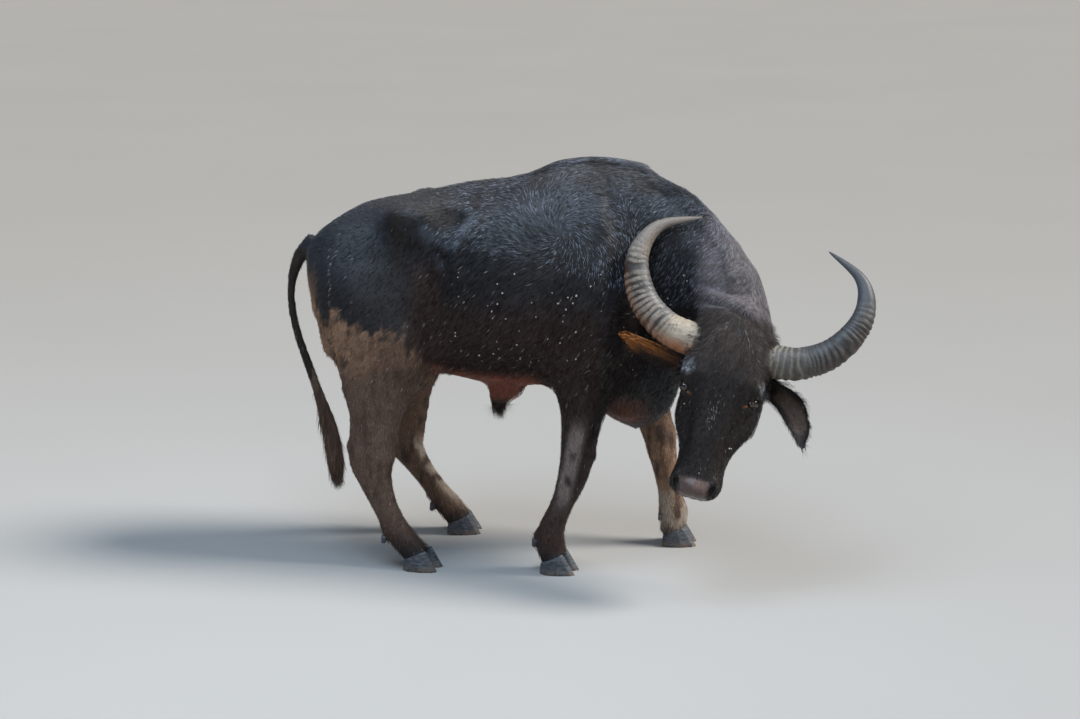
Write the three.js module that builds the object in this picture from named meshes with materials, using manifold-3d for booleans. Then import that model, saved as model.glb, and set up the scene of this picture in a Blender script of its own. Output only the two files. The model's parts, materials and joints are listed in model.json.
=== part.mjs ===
// Water buffalo bull, walking with its head low and turned to its right.
// Millimetres: +X is the way it walks, +Y its left side, +Z up, and the hooves stand on z = 0.
// The flesh is one smooth field: negative inside, zero at the outline of the coat.
// Each named part is taken from that field and ends at a plane, a hair's breadth from its neighbour.

import * as THREE from 'three';
import { mergeVertices } from 'three/addons/utils/BufferGeometryUtils.js';
import Module from 'manifold-3d';

const wasm = await Module();
wasm.setup();

// Driving dimensions
const cutGap = 0.4;
const headOrigin = new THREE.Vector3(770, -360, 968);
const headTurn = -114;
const headDrop = 59;
const headTilt = -23;
const headLength = 625;
const browHalf = 150;
const muzzleHalf = 87;
const eyeRadius = 20;
const eyePlace = { along: 268, side: 115, out: -55 };
const hornRadius = 60;
const hornFlatness = 0.78;
const hornSwing = 1.5;
const earLength = 280;
const earWidth = 92;
const earThickness = 12;
const clawLength = 132;
const clawWidth = 60;
const clawCleft = 7;
const clawForward = 16;
const tailRadius = 18;

// The outline of the trunk seen from the side, with its half width and the level where it is widest
const trunkOutline = [
  { x: -800, top: 1118, bottom: 1010, half: 48, level: 1068 },
  { x: -740, top: 1172, bottom: 900, half: 96, level: 1040 },
  { x: -640, top: 1236, bottom: 800, half: 146, level: 1040 },
  { x: -535, top: 1300, bottom: 730, half: 184, level: 1040 },
  { x: -400, top: 1308, bottom: 690, half: 232, level: 1030 },
  { x: -240, top: 1340, bottom: 650, half: 285, level: 1000 },
  { x: -60, top: 1368, bottom: 634, half: 325, level: 965 },
  { x: 80, top: 1408, bottom: 642, half: 312, level: 945 },
  { x: 210, top: 1430, bottom: 590, half: 262, level: 930 },
  { x: 330, top: 1418, bottom: 520, half: 212, level: 900 },
  { x: 430, top: 1384, bottom: 505, half: 160, level: 860 },
  { x: 510, top: 1300, bottom: 620, half: 90, level: 880 },
];

// The neck from the shoulders to the back of the head: half depth, half width and heading in degrees
const neckRoute = [
  { x: 250, y: 0, z: 1132, depth: 288, width: 160, turn: 0 },
  { x: 430, y: -28, z: 1128, depth: 262, width: 150, turn: -12 },
  { x: 596, y: -92, z: 1025, depth: 232, width: 144, turn: -28 },
  { x: 706, y: -172, z: 930, depth: 202, width: 138, turn: -46 },
  { x: 752, y: -268, z: 815, depth: 165, width: 130, turn: -68 },
];

// Each leg from its top to the coronet, with half depth and half width
const legs = {
  foreleg_right: {
    upper: [
      { x: 150, y: -120, z: 1310, depth: 70, width: 48 },
      { x: 235, y: -190, z: 1080, depth: 135, width: 82 },
      { x: 300, y: -220, z: 880, depth: 128, width: 92 },
      { x: 218, y: -212, z: 730, depth: 110, width: 78 },
    ],
    lower: [
      { x: 218, y: -208, z: 600, depth: 84, width: 62 },
      { x: 206, y: -209, z: 480, depth: 71, width: 54 },
      { x: 196, y: -210, z: 400, depth: 63, width: 54 },
      { x: 180, y: -210, z: 335, depth: 57, width: 52 },
      { x: 156, y: -209, z: 270, depth: 47, width: 42 },
      { x: 122, y: -208, z: 190, depth: 47, width: 40 },
      { x: 101, y: -208, z: 130, depth: 57, width: 51 },
      { x: 106, y: -208, z: 88, depth: 52, width: 50 },
    ],
    coronet: { x: 122, y: -208, turn: -6 },
  },
  foreleg_left: {
    upper: [
      { x: 170, y: 120, z: 1310, depth: 70, width: 48 },
      { x: 270, y: 190, z: 1080, depth: 135, width: 82 },
      { x: 365, y: 215, z: 880, depth: 128, width: 90 },
      { x: 325, y: 208, z: 730, depth: 112, width: 78 },
    ],
    lower: [
      { x: 378, y: 205, z: 600, depth: 86, width: 62 },
      { x: 416, y: 206, z: 480, depth: 71, width: 54 },
      { x: 440, y: 207, z: 400, depth: 63, width: 54 },
      { x: 452, y: 207, z: 335, depth: 57, width: 52 },
      { x: 464, y: 207, z: 270, depth: 47, width: 42 },
      { x: 480, y: 207, z: 190, depth: 47, width: 40 },
      { x: 494, y: 207, z: 130, depth: 55, width: 51 },
      { x: 494, y: 207, z: 88, depth: 52, width: 50 },
    ],
    coronet: { x: 500, y: 207, turn: 4 },
  },
  hindleg_right: {
    upper: [
      { x: -612, y: -116, z: 1105, depth: 150, width: 76 },
      { x: -562, y: -178, z: 955, depth: 212, width: 110 },
      { x: -520, y: -208, z: 810, depth: 196, width: 110 },
      { x: -503, y: -220, z: 700, depth: 152, width: 88 },
    ],
    lower: [
      { x: -510, y: -228, z: 610, depth: 114, width: 68 },
      { x: -513, y: -234, z: 520, depth: 97, width: 54 },
      { x: -522, y: -239, z: 440, depth: 96, width: 50 },
      { x: -528, y: -241, z: 385, depth: 88, width: 50 },
      { x: -516, y: -242, z: 320, depth: 66, width: 46 },
      { x: -490, y: -242, z: 245, depth: 54, width: 42 },
      { x: -458, y: -242, z: 175, depth: 48, width: 40 },
      { x: -434, y: -242, z: 128, depth: 55, width: 50 },
      { x: -396, y: -242, z: 84, depth: 50, width: 50 },
    ],
    coronet: { x: -360, y: -242, turn: -8 },
  },
  hindleg_left: {
    upper: [
      { x: -612, y: 116, z: 1105, depth: 150, width: 76 },
      { x: -558, y: 178, z: 955, depth: 212, width: 110 },
      { x: -492, y: 206, z: 810, depth: 185, width: 108 },
      { x: -488, y: 217, z: 690, depth: 150, width: 88 },
    ],
    lower: [
      { x: -494, y: 226, z: 590, depth: 112, width: 66 },
      { x: -502, y: 232, z: 490, depth: 94, width: 54 },
      { x: -512, y: 237, z: 400, depth: 90, width: 50 },
      { x: -518, y: 239, z: 340, depth: 84, width: 50 },
      { x: -484, y: 240, z: 285, depth: 60, width: 46 },
      { x: -440, y: 241, z: 225, depth: 47, width: 42 },
      { x: -396, y: 242, z: 165, depth: 45, width: 40 },
      { x: -362, y: 242, z: 120, depth: 52, width: 50 },
      { x: -330, y: 242, z: 82, depth: 48, width: 50 },
    ],
    coronet: { x: -302, y: 242, turn: 6 },
  },
};

// The tail hangs in a slack curve and ends in a tuft
const tailRoute = [
  { x: -770, y: 0, z: 1120, radius: 44 },
  { x: -832, y: 0, z: 1062, radius: 30 },
  { x: -862, y: -4, z: 970, radius: 19 },
  { x: -862, y: -8, z: 880, radius: tailRadius },
  { x: -840, y: -10, z: 775, radius: tailRadius },
  { x: -804, y: -12, z: 670, radius: 20 },
  { x: -766, y: -14, z: 560, radius: 21 },
  { x: -736, y: -14, z: 460, radius: 24 },
  { x: -718, y: -14, z: 370, radius: 27 },
  { x: -710, y: -14, z: 300, radius: 22 },
  { x: -706, y: -14, z: 262, radius: 6 },
];

// The head seen from the side and the front. Along runs from the poll to the nose, out is away from
// the forehead, and level is where the section is widest
const headOutline = [
  { along: -70, out: -48, jaw: -150, half: 70, level: -95 },
  { along: -15, out: -2, jaw: -200, half: 108, level: -80 },
  { along: 60, out: 14, jaw: -240, half: 126, level: -70 },
  { along: 150, out: 16, jaw: -262, half: 130, level: -75 },
  { along: 240, out: 6, jaw: -268, half: 131, level: -90 },
  { along: 330, out: -14, jaw: -242, half: 122, level: -118 },
  { along: 430, out: -30, jaw: -206, half: 98, level: -118 },
  { along: 510, out: -42, jaw: -184, half: 83, level: -112 },
  { along: 570, out: -48, jaw: -178, half: muzzleHalf, level: -110 },
  { along: 608, out: -60, jaw: -168, half: 74, level: -114 },
  { along: headLength, out: -84, jaw: -148, half: 46, level: -118 },
];

// Colours, in the order of the photograph's lights and darks
const finishes = {
  hide: { color: 0x1d1c20, roughness: 0.55, metalness: 0 },
  dust: { color: 0x6b4e38, roughness: 0.8, metalness: 0 },
  horn: { color: 0x8f8577, roughness: 0.5, metalness: 0 },
  hoof: { color: 0x2b2d33, roughness: 0.5, metalness: 0 },
  eye: { color: 0x0b0807, roughness: 0.12, metalness: 0 },
};

const buffalo = new THREE.Group();

function addPart(name, geometry, finish) {
  const mesh = new THREE.Mesh(geometry, new THREE.MeshStandardMaterial(finishes[finish]));
  mesh.name = name;
  buffalo.add(mesh);
}

// Smooth interpolation through stations, by place in the list
function between(stations, at) {
  const last = stations.length - 1;
  const index = Math.min(Math.floor(at), last - 1);
  const t = at - index;
  const pick = (i) => stations[Math.max(0, Math.min(last, i))];
  const [a, b, c, d] = [pick(index - 1), pick(index), pick(index + 1), pick(index + 2)];
  const result = {};
  for (const key of Object.keys(b)) {
    const bend = 2 * a[key] - 5 * b[key] + 4 * c[key] - d[key];
    const twist = 3 * (b[key] - c[key]) + d[key] - a[key];
    result[key] = b[key] + 0.5 * t * (c[key] - a[key] + t * (bend + t * twist));
  }
  return result;
}

// Stations resampled so that straight pieces between them look curved
function refine(stations, steps) {
  const count = (stations.length - 1) * steps;
  return Array.from({ length: count + 1 }, (_, i) => between(stations, i / steps));
}

// Value of an outline at a place along its first key, without overshoot
function outlineAt(stations, key, at) {
  const last = stations.length - 1;
  const place = Math.max(stations[0][key], Math.min(stations[last][key], at));
  let index = 0;
  while (index < last - 1 && place > stations[index + 1][key]) index += 1;
  const start = stations[index][key];
  const t = (place - start) / (stations[index + 1][key] - start);
  return between(stations, index + t);
}

function smoothMin(a, b, reach) {
  const overlap = Math.max(reach - Math.abs(a - b), 0) / reach;
  return Math.min(a, b) - (overlap * overlap * reach) / 4;
}

function smoothMax(a, b, reach) {
  return -smoothMin(-a, -b, reach);
}

// Distance along the ray from a section's centre to its outline
function fromCentre(length, ratio, smallest) {
  return ratio < 1e-6 ? -smallest : length - length / ratio;
}

// A muscle or bone: an ellipsoid, leaning forwards by pitch and turned by turn, in degrees
function lump(centre, radii, pitch = 0, turn = 0) {
  const lean = THREE.MathUtils.degToRad(pitch);
  const heading = THREE.MathUtils.degToRad(turn);
  const [cosL, sinL] = [Math.cos(lean), Math.sin(lean)];
  const [cosH, sinH] = [Math.cos(heading), Math.sin(heading)];
  const smallest = Math.min(...radii);
  return (x, y, z) => {
    const [dx, dy, dz] = [x - centre[0], y - centre[1], z - centre[2]];
    const ahead = dx * cosH + dy * sinH;
    const aside = dy * cosH - dx * sinH;
    const front = ahead * cosL - dz * sinL;
    const rise = ahead * sinL + dz * cosL;
    const ratio = Math.hypot(front / radii[0], aside / radii[1], rise / radii[2]);
    return fromCentre(Math.hypot(front, aside, rise), ratio, smallest);
  };
}

// A limb or neck: elliptical sections along a route, wide across the heading and deep along it
function limb(route, steps = 3) {
  const points = refine(route, steps).map((station) => {
    const heading = THREE.MathUtils.degToRad(station.turn ?? 0);
    return { ...station, acrossX: -Math.sin(heading), acrossY: Math.cos(heading) };
  });
  return (x, y, z) => {
    let nearest = Infinity;
    for (let i = 0; i < points.length - 1; i += 1) {
      const [a, b] = [points[i], points[i + 1]];
      const [ex, ey, ez] = [b.x - a.x, b.y - a.y, b.z - a.z];
      const [px, py, pz] = [x - a.x, y - a.y, z - a.z];
      const reach = (px * ex + py * ey + pz * ez) / (ex * ex + ey * ey + ez * ez);
      const t = Math.max(0, Math.min(1, reach));
      const [dx, dy, dz] = [px - t * ex, py - t * ey, pz - t * ez];
      const depth = a.depth + t * (b.depth - a.depth);
      const width = a.width + t * (b.width - a.width);
      const acrossX = a.acrossX + t * (b.acrossX - a.acrossX);
      const acrossY = a.acrossY + t * (b.acrossY - a.acrossY);
      const side = dx * acrossX + dy * acrossY;
      const length = Math.hypot(dx, dy, dz);
      const rest = Math.sqrt(Math.max(length * length - side * side, 0));
      const ratio = Math.hypot(side / width, rest / depth);
      nearest = Math.min(nearest, fromCentre(length, ratio, Math.min(depth, width)));
    }
    return nearest;
  };
}

// The trunk: its outline swept along X, with a narrow back and a round belly
function trunkField(x, y, z) {
  const section = outlineAt(trunkOutline, 'x', x);
  const above = z > section.level;
  const height = above ? section.top - section.level : section.level - section.bottom;
  const power = above ? 1.85 : 2.25;
  const side = Math.abs(y) / section.half;
  const rise = Math.abs(z - section.level) / height;
  const ratio = (side ** power + rise ** power) ** (1 / power);
  const length = Math.hypot(y, z - section.level);
  const body = fromCentre(length, ratio, Math.min(section.half, height));
  const first = trunkOutline[0].x;
  const last = trunkOutline[trunkOutline.length - 1].x;
  return smoothMax(body, Math.max(first - x, x - last), 60);
}

const trunkLumps = [
  { reach: 110, shape: lump([-380, -205, 1246], [86, 66, 62], 12, 20) },
  { reach: 110, shape: lump([-380, 205, 1246], [86, 66, 62], 12, -20) },
  { reach: 80, shape: lump([-722, -88, 1085], [62, 52, 60]) },
  { reach: 80, shape: lump([-722, 88, 1085], [62, 52, 60]) },
  { reach: 90, shape: lump([-452, -205, 760], [120, 70, 120], -30) },
  { reach: 90, shape: lump([-440, 205, 760], [120, 70, 120], -30) },
  { reach: 60, shape: lump([150, -185, 800], [62, 52, 62]) },
  { reach: 60, shape: lump([262, 185, 792], [62, 52, 62]) },
  { reach: 90, shape: lump([375, 0, 560], [120, 92, 90], 18) },
  { reach: 90, shape: lump([455, -20, 690], [108, 85, 140]) },
  { reach: 50, shape: lump([-430, 0, 632], [50, 46, 78]) },
];

const sheath = limb([
  { x: -70, y: 0, z: 650, depth: 74, width: 60 },
  { x: -104, y: 0, z: 590, depth: 52, width: 42 },
  { x: -122, y: 0, z: 540, depth: 28, width: 26 },
  { x: -122, y: 0, z: 508, depth: 14, width: 14 },
]);

const flankHollows = [
  lump([-238, -318, 1178], [105, 62, 95], 25),
  lump([-238, 318, 1178], [105, 62, 95], 25),
];

// Everything above the elbows and stifles, with the neck
const neck = limb(neckRoute, 4);
const upperLegs = Object.values(legs).map((leg) => limb([...leg.upper, leg.lower[0], leg.lower[1]]));

function trunkFlesh(x, y, z) {
  let depth = smoothMin(trunkField(x, y, z), neck(x, y, z), 110);
  for (const part of trunkLumps) depth = smoothMin(depth, part.shape(x, y, z), part.reach);
  for (const upper of upperLegs) depth = smoothMin(depth, upper(x, y, z), 75);
  depth = smoothMin(depth, sheath(x, y, z), 40);
  for (const hollow of flankHollows) depth = smoothMax(depth, -hollow(x, y, z), 60);
  return depth;
}

// The head's own frame: along the face, to the animal's left, and out of the forehead
const headEuler = new THREE.Euler(
  THREE.MathUtils.degToRad(headTilt),
  THREE.MathUtils.degToRad(headDrop),
  THREE.MathUtils.degToRad(headTurn),
  'ZYX',
);
const headPose = new THREE.Matrix4().makeRotationFromEuler(headEuler).setPosition(headOrigin);
const headInverse = headPose.clone().invert();

function onHead(along, side, out) {
  return new THREE.Vector3(along, side, out).applyMatrix4(headPose);
}

function headLoft(along, side, out) {
  const section = outlineAt(headOutline, 'along', along);
  const above = out > section.level;
  const height = above ? section.out - section.level : section.level - section.jaw;
  const power = above ? 2.5 : 2;
  const ratio = ((Math.abs(side) / section.half) ** power
    + (Math.abs(out - section.level) / height) ** power) ** (1 / power);
  const length = Math.hypot(side, out - section.level);
  const body = fromCentre(length, ratio, Math.min(section.half, height));
  const ends = Math.max(headOutline[0].along - along, along - headLength);
  return smoothMax(body, ends, 24);
}

// Brow over the eye, cheekbone, jaw muscle, lips and chin, each on both sides
const headLumps = [
  { reach: 34, place: [222, browHalf - 42, -40], radii: [64, 42, 34] },
  { reach: 34, place: [322, 102, -96], radii: [82, 30, 34] },
  { reach: 50, place: [290, 78, -170], radii: [105, 50, 80] },
  { reach: 24, place: [572, 54, -88], radii: [46, 34, 30] },
  { reach: 24, place: [545, 48, -146], radii: [62, 36, 30] },
];
const eyeSocket = { reach: 16, place: [270, 150, -52], radii: [36, 30, 24] };

function ellipsoidField(place, radii, along, side, out) {
  const [dx, dy, dz] = [along - place[0], Math.abs(side) - place[1], out - place[2]];
  const ratio = Math.hypot(dx / radii[0], dy / radii[1], dz / radii[2]);
  return fromCentre(Math.hypot(dx, dy, dz), ratio, Math.min(...radii));
}

function headFlesh(along, side, out) {
  let depth = headLoft(along, side, out);
  for (const part of headLumps) {
    depth = smoothMin(depth, ellipsoidField(part.place, part.radii, along, side, out), part.reach);
  }
  const socket = ellipsoidField(eyeSocket.place, eyeSocket.radii, along, side, out);
  return smoothMax(depth, -socket, eyeSocket.reach);
}

const scratchPoint = new THREE.Vector3();

function headAndNeckFlesh(x, y, z) {
  scratchPoint.set(x, y, z).applyMatrix4(headInverse);
  const head = headFlesh(scratchPoint.x, scratchPoint.y, scratchPoint.z);
  return smoothMin(trunkFlesh(x, y, z), head, 60);
}

// Solids and their joins
function toSolid(geometry) {
  const plain = geometry.clone();
  plain.deleteAttribute('normal');
  plain.deleteAttribute('uv');
  const merged = mergeVertices(plain, 1e-3);
  return new wasm.Manifold(new wasm.Mesh({
    numProp: 3,
    vertProperties: Float32Array.from(merged.attributes.position.array),
    triVerts: Uint32Array.from(merged.index.array),
  }));
}

function toGeometry(solid) {
  const mesh = solid.getMesh();
  const geometry = new THREE.BufferGeometry();
  geometry.setAttribute('position', new THREE.BufferAttribute(mesh.vertProperties, 3));
  geometry.setIndex(new THREE.BufferAttribute(mesh.triVerts, 1));
  return geometry;
}

// A surface wrapped round the field on a grid of cells, one vertex to each cell it crosses
function wrapField(field, low, high, cell) {
  const counts = low.map((value, i) => Math.ceil((high[i] - value) / cell) + 1);
  const [nx, ny, nz] = counts;
  const at = (i, j, k) => i + nx * (j + ny * k);
  const values = new Float64Array(nx * ny * nz);
  for (let k = 0; k < nz; k += 1) {
    for (let j = 0; j < ny; j += 1) {
      for (let i = 0; i < nx; i += 1) {
        const edge = i === 0 || j === 0 || k === 0 || i === nx - 1 || j === ny - 1 || k === nz - 1;
        const value = field(low[0] + i * cell, low[1] + j * cell, low[2] + k * cell);
        values[at(i, j, k)] = edge ? Math.max(value, 1) : value;
      }
    }
  }
  const place = (corner) => corner.map((value, i) => low[i] + value * cell);
  const crossing = (a, b) => {
    let [inside, outside] = values[at(...a)] < 0 ? [place(a), place(b)] : [place(b), place(a)];
    for (let step = 0; step < 7; step += 1) {
      const middle = inside.map((value, i) => (value + outside[i]) / 2);
      if (field(...middle) < 0) inside = middle;
      else outside = middle;
    }
    return inside;
  };
  const positions = [];
  const vertexOf = new Map();
  const corners = [0, 1, 2, 3, 4, 5, 6, 7].map((n) => [n & 1, (n >> 1) & 1, (n >> 2) & 1]);
  const vertex = (i, j, k) => {
    const key = at(i, j, k);
    if (vertexOf.has(key)) return vertexOf.get(key);
    const sum = [0, 0, 0];
    let hits = 0;
    for (const corner of corners) {
      for (let axis = 0; axis < 3; axis += 1) {
        if (corner[axis] === 0) {
          const a = [i + corner[0], j + corner[1], k + corner[2]];
          const b = a.map((value, n) => (n === axis ? value + 1 : value));
          if (values[at(...a)] < 0 !== values[at(...b)] < 0) {
            crossing(a, b).forEach((value, n) => {
              sum[n] += value;
            });
            hits += 1;
          }
        }
      }
    }
    vertexOf.set(key, positions.length / 3);
    positions.push(sum[0] / hits, sum[1] / hits, sum[2] / hits);
    return vertexOf.get(key);
  };
  const indices = [];
  for (let k = 0; k < nz - 1; k += 1) {
    for (let j = 0; j < ny - 1; j += 1) {
      for (let i = 0; i < nx - 1; i += 1) {
        const here = values[at(i, j, k)] < 0;
        for (let axis = 0; axis < 3; axis += 1) {
          const next = [i, j, k].map((value, n) => (n === axis ? value + 1 : value));
          if (here !== values[at(...next)] < 0) {
            const [u, v] = [(axis + 1) % 3, (axis + 2) % 3];
            const around = [[0, 0], [-1, 0], [-1, -1], [0, -1]].map(([du, dv]) => {
              const box = [i, j, k];
              box[u] += du;
              box[v] += dv;
              return vertex(...box);
            });
            if (!here) around.reverse();
            indices.push(around[0], around[1], around[2], around[0], around[2], around[3]);
          }
        }
      }
    }
  }
  const geometry = new THREE.BufferGeometry();
  geometry.setAttribute('position', new THREE.Float32BufferAttribute(positions, 3));
  geometry.setIndex(indices);
  return toSolid(geometry);
}

// A closed tube through rings of points, each ring an array of the same length
function ringSolid(rings) {
  const sides = rings[0].length;
  const positions = rings.flat().flatMap((point) => [point.x, point.y, point.z]);
  const indices = [];
  for (let ring = 0; ring < rings.length - 1; ring += 1) {
    for (let side = 0; side < sides; side += 1) {
      const a = ring * sides + side;
      const b = ring * sides + ((side + 1) % sides);
      indices.push(a, b, b + sides, a, b + sides, a + sides);
    }
  }
  for (const ring of [0, rings.length - 1]) {
    const middle = positions.length / 3;
    const centre = rings[ring].reduce((sum, point) => sum.add(point), new THREE.Vector3());
    centre.divideScalar(sides);
    positions.push(centre.x, centre.y, centre.z);
    for (let side = 0; side < sides; side += 1) {
      const a = ring * sides + side;
      const b = ring * sides + ((side + 1) % sides);
      if (ring === 0) indices.push(middle, b, a);
      else indices.push(middle, a, b);
    }
  }
  const geometry = new THREE.BufferGeometry();
  geometry.setAttribute('position', new THREE.Float32BufferAttribute(positions, 3));
  geometry.setIndex(indices);
  return toSolid(geometry);
}

// A ring of points where rays from a centre leave the flesh
function ringOnField(field, centre, ahead, across, sides, farthest) {
  const rise = new THREE.Vector3().crossVectors(ahead, across);
  return Array.from({ length: sides }, (_, i) => {
    const angle = (2 * Math.PI * i) / sides;
    const ray = across.clone().multiplyScalar(Math.cos(angle)).addScaledVector(rise, Math.sin(angle));
    let [near, far] = [0, farthest];
    for (let reach = 6; reach < farthest; reach += 6) {
      if (field(...centre.clone().addScaledVector(ray, reach)) > 0) {
        far = reach;
        break;
      }
      near = reach;
    }
    for (let step = 0; step < 8; step += 1) {
      const middle = (near + far) / 2;
      if (field(...centre.clone().addScaledVector(ray, middle)) > 0) far = middle;
      else near = middle;
    }
    return centre.clone().addScaledVector(ray, far);
  });
}

// A large box whose one face is the plane through a point, on the side away from its normal
function halfSpace(point, normal) {
  const size = 6000;
  const box = new THREE.BoxGeometry(size, size, size);
  box.translate(0, 0, -size / 2);
  const turn = new THREE.Quaternion().setFromUnitVectors(new THREE.Vector3(0, 0, 1), normal);
  box.applyQuaternion(turn);
  box.translate(point.x, point.y, point.z);
  return toSolid(box);
}

function keepBehind(solid, point, normal) {
  const face = point.clone().addScaledVector(normal, -cutGap / 2);
  return solid.intersect(halfSpace(face, normal));
}

function block(low, high, grow = 0) {
  const size = low.map((value, i) => high[i] - value + 2 * grow);
  const box = new THREE.BoxGeometry(...size);
  box.translate((low[0] + high[0]) / 2, (low[1] + high[1]) / 2, (low[2] + high[2]) / 2);
  return toSolid(box);
}

// Two pieces of a solid, before and behind a plane
function part(solid, point, normal) {
  return [keepBehind(solid, point, normal), keepBehind(solid, point, normal.clone().negate())];
}

const up = new THREE.Vector3(0, 0, 1);
const forward = new THREE.Vector3(1, 0, 0);

// Trunk, neck and the tops of the legs
const legTop = 640;
const shoulderTop = 1010;
const haunchTop = 1000;
const shoulderInner = 128;
const haunchInner = 112;
const trunkCell = 79;
const limbBlocks = {
  shoulder_right: [[40, -500, 300], [480, -shoulderInner, shoulderTop]],
  shoulder_left: [[100, shoulderInner, 300], [560, 500, shoulderTop]],
  haunch_right: [[-900, -500, 300], [-290, -haunchInner, haunchTop]],
  haunch_left: [[-900, haunchInner, 300], [-290, 500, haunchTop]],
};
const smallCell = 38;
const sheathBlock = [[-220, -100, 440], [10, 100, 612]];
const scrotumBlock = [[-505, -66, 500], [-355, 66, 630]];
const rumpEdge = new THREE.Vector3(-300, 0, 0);
const chestEdge = new THREE.Vector3(110, 0, 0);
const tailEdge = new THREE.Vector3(-782, 0, 0);
const neckEdge = new THREE.Vector3(505, -30, 1100);
const neckAhead = new THREE.Vector3(0.96, -0.28, 0).normalize();
const napePoint = onHead(0, 0, -66);
const napeAhead = new THREE.Vector3(0.66, 0, 0.75).normalize().transformDirection(headPose);

function addTrunk() {
  const body = wrapField(trunkFlesh, [-925, -452, 466], [860, 460, 1500], trunkCell);
  let rest = body;
  for (const [name, [low, high]] of Object.entries(limbBlocks)) {
    rest = rest.subtract(block(low, high, cutGap));
    const piece = body.intersect(block(low, high));
    const [, above] = part(piece, new THREE.Vector3(0, 0, legTop), up);
    addPart(name, toGeometry(above), 'hide');
  }
  for (const [name, [low, high]] of Object.entries({ sheath: sheathBlock, scrotum: scrotumBlock })) {
    const margin = [smallCell, smallCell, smallCell];
    const from = low.map((value, i) => value - margin[i]);
    const to = high.map((value, i) => value + 2 * margin[i]);
    const lobe = wrapField(trunkFlesh, from, to, smallCell);
    addPart(name, toGeometry(lobe.intersect(block(low, high))), 'hide');
    rest = rest.subtract(block(low, high, cutGap));
  }
  const [beforeNeck, neckAndHead] = part(rest, neckEdge, neckAhead);
  const [beforeChest, chest] = part(beforeNeck, chestEdge, forward);
  const [rumpAndTail, barrel] = part(beforeChest, rumpEdge, forward);
  const [, rump] = part(rumpAndTail, tailEdge, forward);
  addPart('rump', toGeometry(rump), 'hide');
  addPart('barrel', toGeometry(barrel), 'hide');
  addPart('chest', toGeometry(chest), 'hide');
  addPart('neck', toGeometry(keepBehind(neckAndHead, napePoint, napeAhead)), 'hide');
}

// Horns: one shape for both, swung a little, so the right one stands higher as the head is carried
const hornRoute = [
  { along: 106, side: 78, out: -64 },
  { along: 104, side: 150, out: -60 },
  { along: 88, side: 238, out: -54 },
  { along: 26, side: 330, out: -44 },
  { along: -74, side: 388, out: -32 },
  { along: -168, side: 392, out: -24 },
  { along: -248, side: 344, out: -18 },
  { along: -304, side: 222, out: -10 },
];
const hornSteps = 2;
const hornSides = 8;

function hornSolid(left, grow) {
  const route = refine(hornRoute, hornSteps);
  const swing = THREE.MathUtils.degToRad(left ? hornSwing : -hornSwing);
  const rings = route.map((station, i) => {
    const before = route[Math.max(i - 1, 0)];
    const after = route[Math.min(i + 1, route.length - 1)];
    const heading = Math.atan2(after.side - before.side, after.along - before.along);
    const t = i / (route.length - 1);
    const radius = hornRadius * (1 - 0.97 * t ** 2.2) + grow;
    return Array.from({ length: hornSides }, (_, n) => {
      const angle = (2 * Math.PI * n) / hornSides;
      const wide = radius * Math.cos(angle);
      const along = station.along - wide * Math.sin(heading);
      const side = station.side + wide * Math.cos(heading) - (i === 0 ? grow : 0);
      const out = station.out + radius * hornFlatness * Math.sin(angle);
      const swungAlong = along * Math.cos(swing) + side * Math.sin(swing);
      const swungSide = side * Math.cos(swing) - along * Math.sin(swing);
      return onHead(swungAlong, left ? swungSide : -swungSide, out);
    });
  });
  if (!left) rings.forEach((ring) => ring.reverse());
  return ringSolid(rings);
}

// Ears: cupped leaves, the right one held out level and the left one drooping. A grown ear is the
// socket that the head leaves for it, so it has no hollow
const ears = {
  right: { root: [188, -112, -132], aim: [-30, -235, 90], bow: [10, 0, -20], open: [0.92, 0.12, 0.38] },
  left: { root: [172, 116, -132], aim: [222, 226, 5], bow: [-36, 28, 0], open: [0.1, -0.2, 0.94] },
};
const earRings = 8;
const earSides = 5;

function earSolid(ear, grow) {
  const root = new THREE.Vector3(...ear.root);
  const aim = new THREE.Vector3(...ear.aim).normalize();
  const bow = new THREE.Vector3(...ear.bow);
  const across = new THREE.Vector3(...ear.open).cross(aim).normalize();
  const open = new THREE.Vector3().crossVectors(aim, across);
  const rings = Array.from({ length: earRings }, (_, i) => {
    const t = i / (earRings - 1);
    const leaf = 0.45 + 0.55 * Math.sin(Math.PI * (0.12 + 0.8 * t));
    const edge = (earWidth / 2) * leaf * Math.sqrt(1 - 0.97 * t ** 6);
    const cup = 0.5 * edge;
    const half = edge + grow;
    const thick = earThickness * (1.4 - 0.9 * t) + 2 * grow;
    const outer = Array.from({ length: earSides }, (_, n) => {
      const place = -1 + (2 * n) / (earSides - 1);
      return [place * half, -cup * (1 - place * place) - thick / 2];
    });
    const inner = Array.from({ length: earSides }, (_, n) => {
      const place = 1 - (2 * n) / (earSides - 1);
      const hollow = grow > 0 ? 0 : cup * (1 - place * place);
      return [place * half, thick / 2 - hollow];
    });
    return [...outer, ...inner].map(([wide, deep]) => {
      const point = root.clone().addScaledVector(aim, t * earLength - (i === 0 ? grow : 0));
      point.addScaledVector(bow, 4 * t * (1 - t));
      point.addScaledVector(across, wide).addScaledVector(open, deep);
      return onHead(point.x, point.y, point.z);
    });
  });
  return ringSolid(rings);
}

function eyeSolid(left, grow) {
  const eye = new THREE.SphereGeometry(eyeRadius + grow, 12, 7);
  const side = left ? eyePlace.side : -eyePlace.side;
  const centre = onHead(eyePlace.along, side, eyePlace.out);
  eye.translate(centre.x, centre.y, centre.z);
  return toSolid(eye);
}

// Head and muzzle, with the horns, ears and eyes let into them
const headRings = 20;
const headSides = 22;
const headBack = -95;
const headMiddle = -112;
const muzzleEdge = 470;

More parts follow.
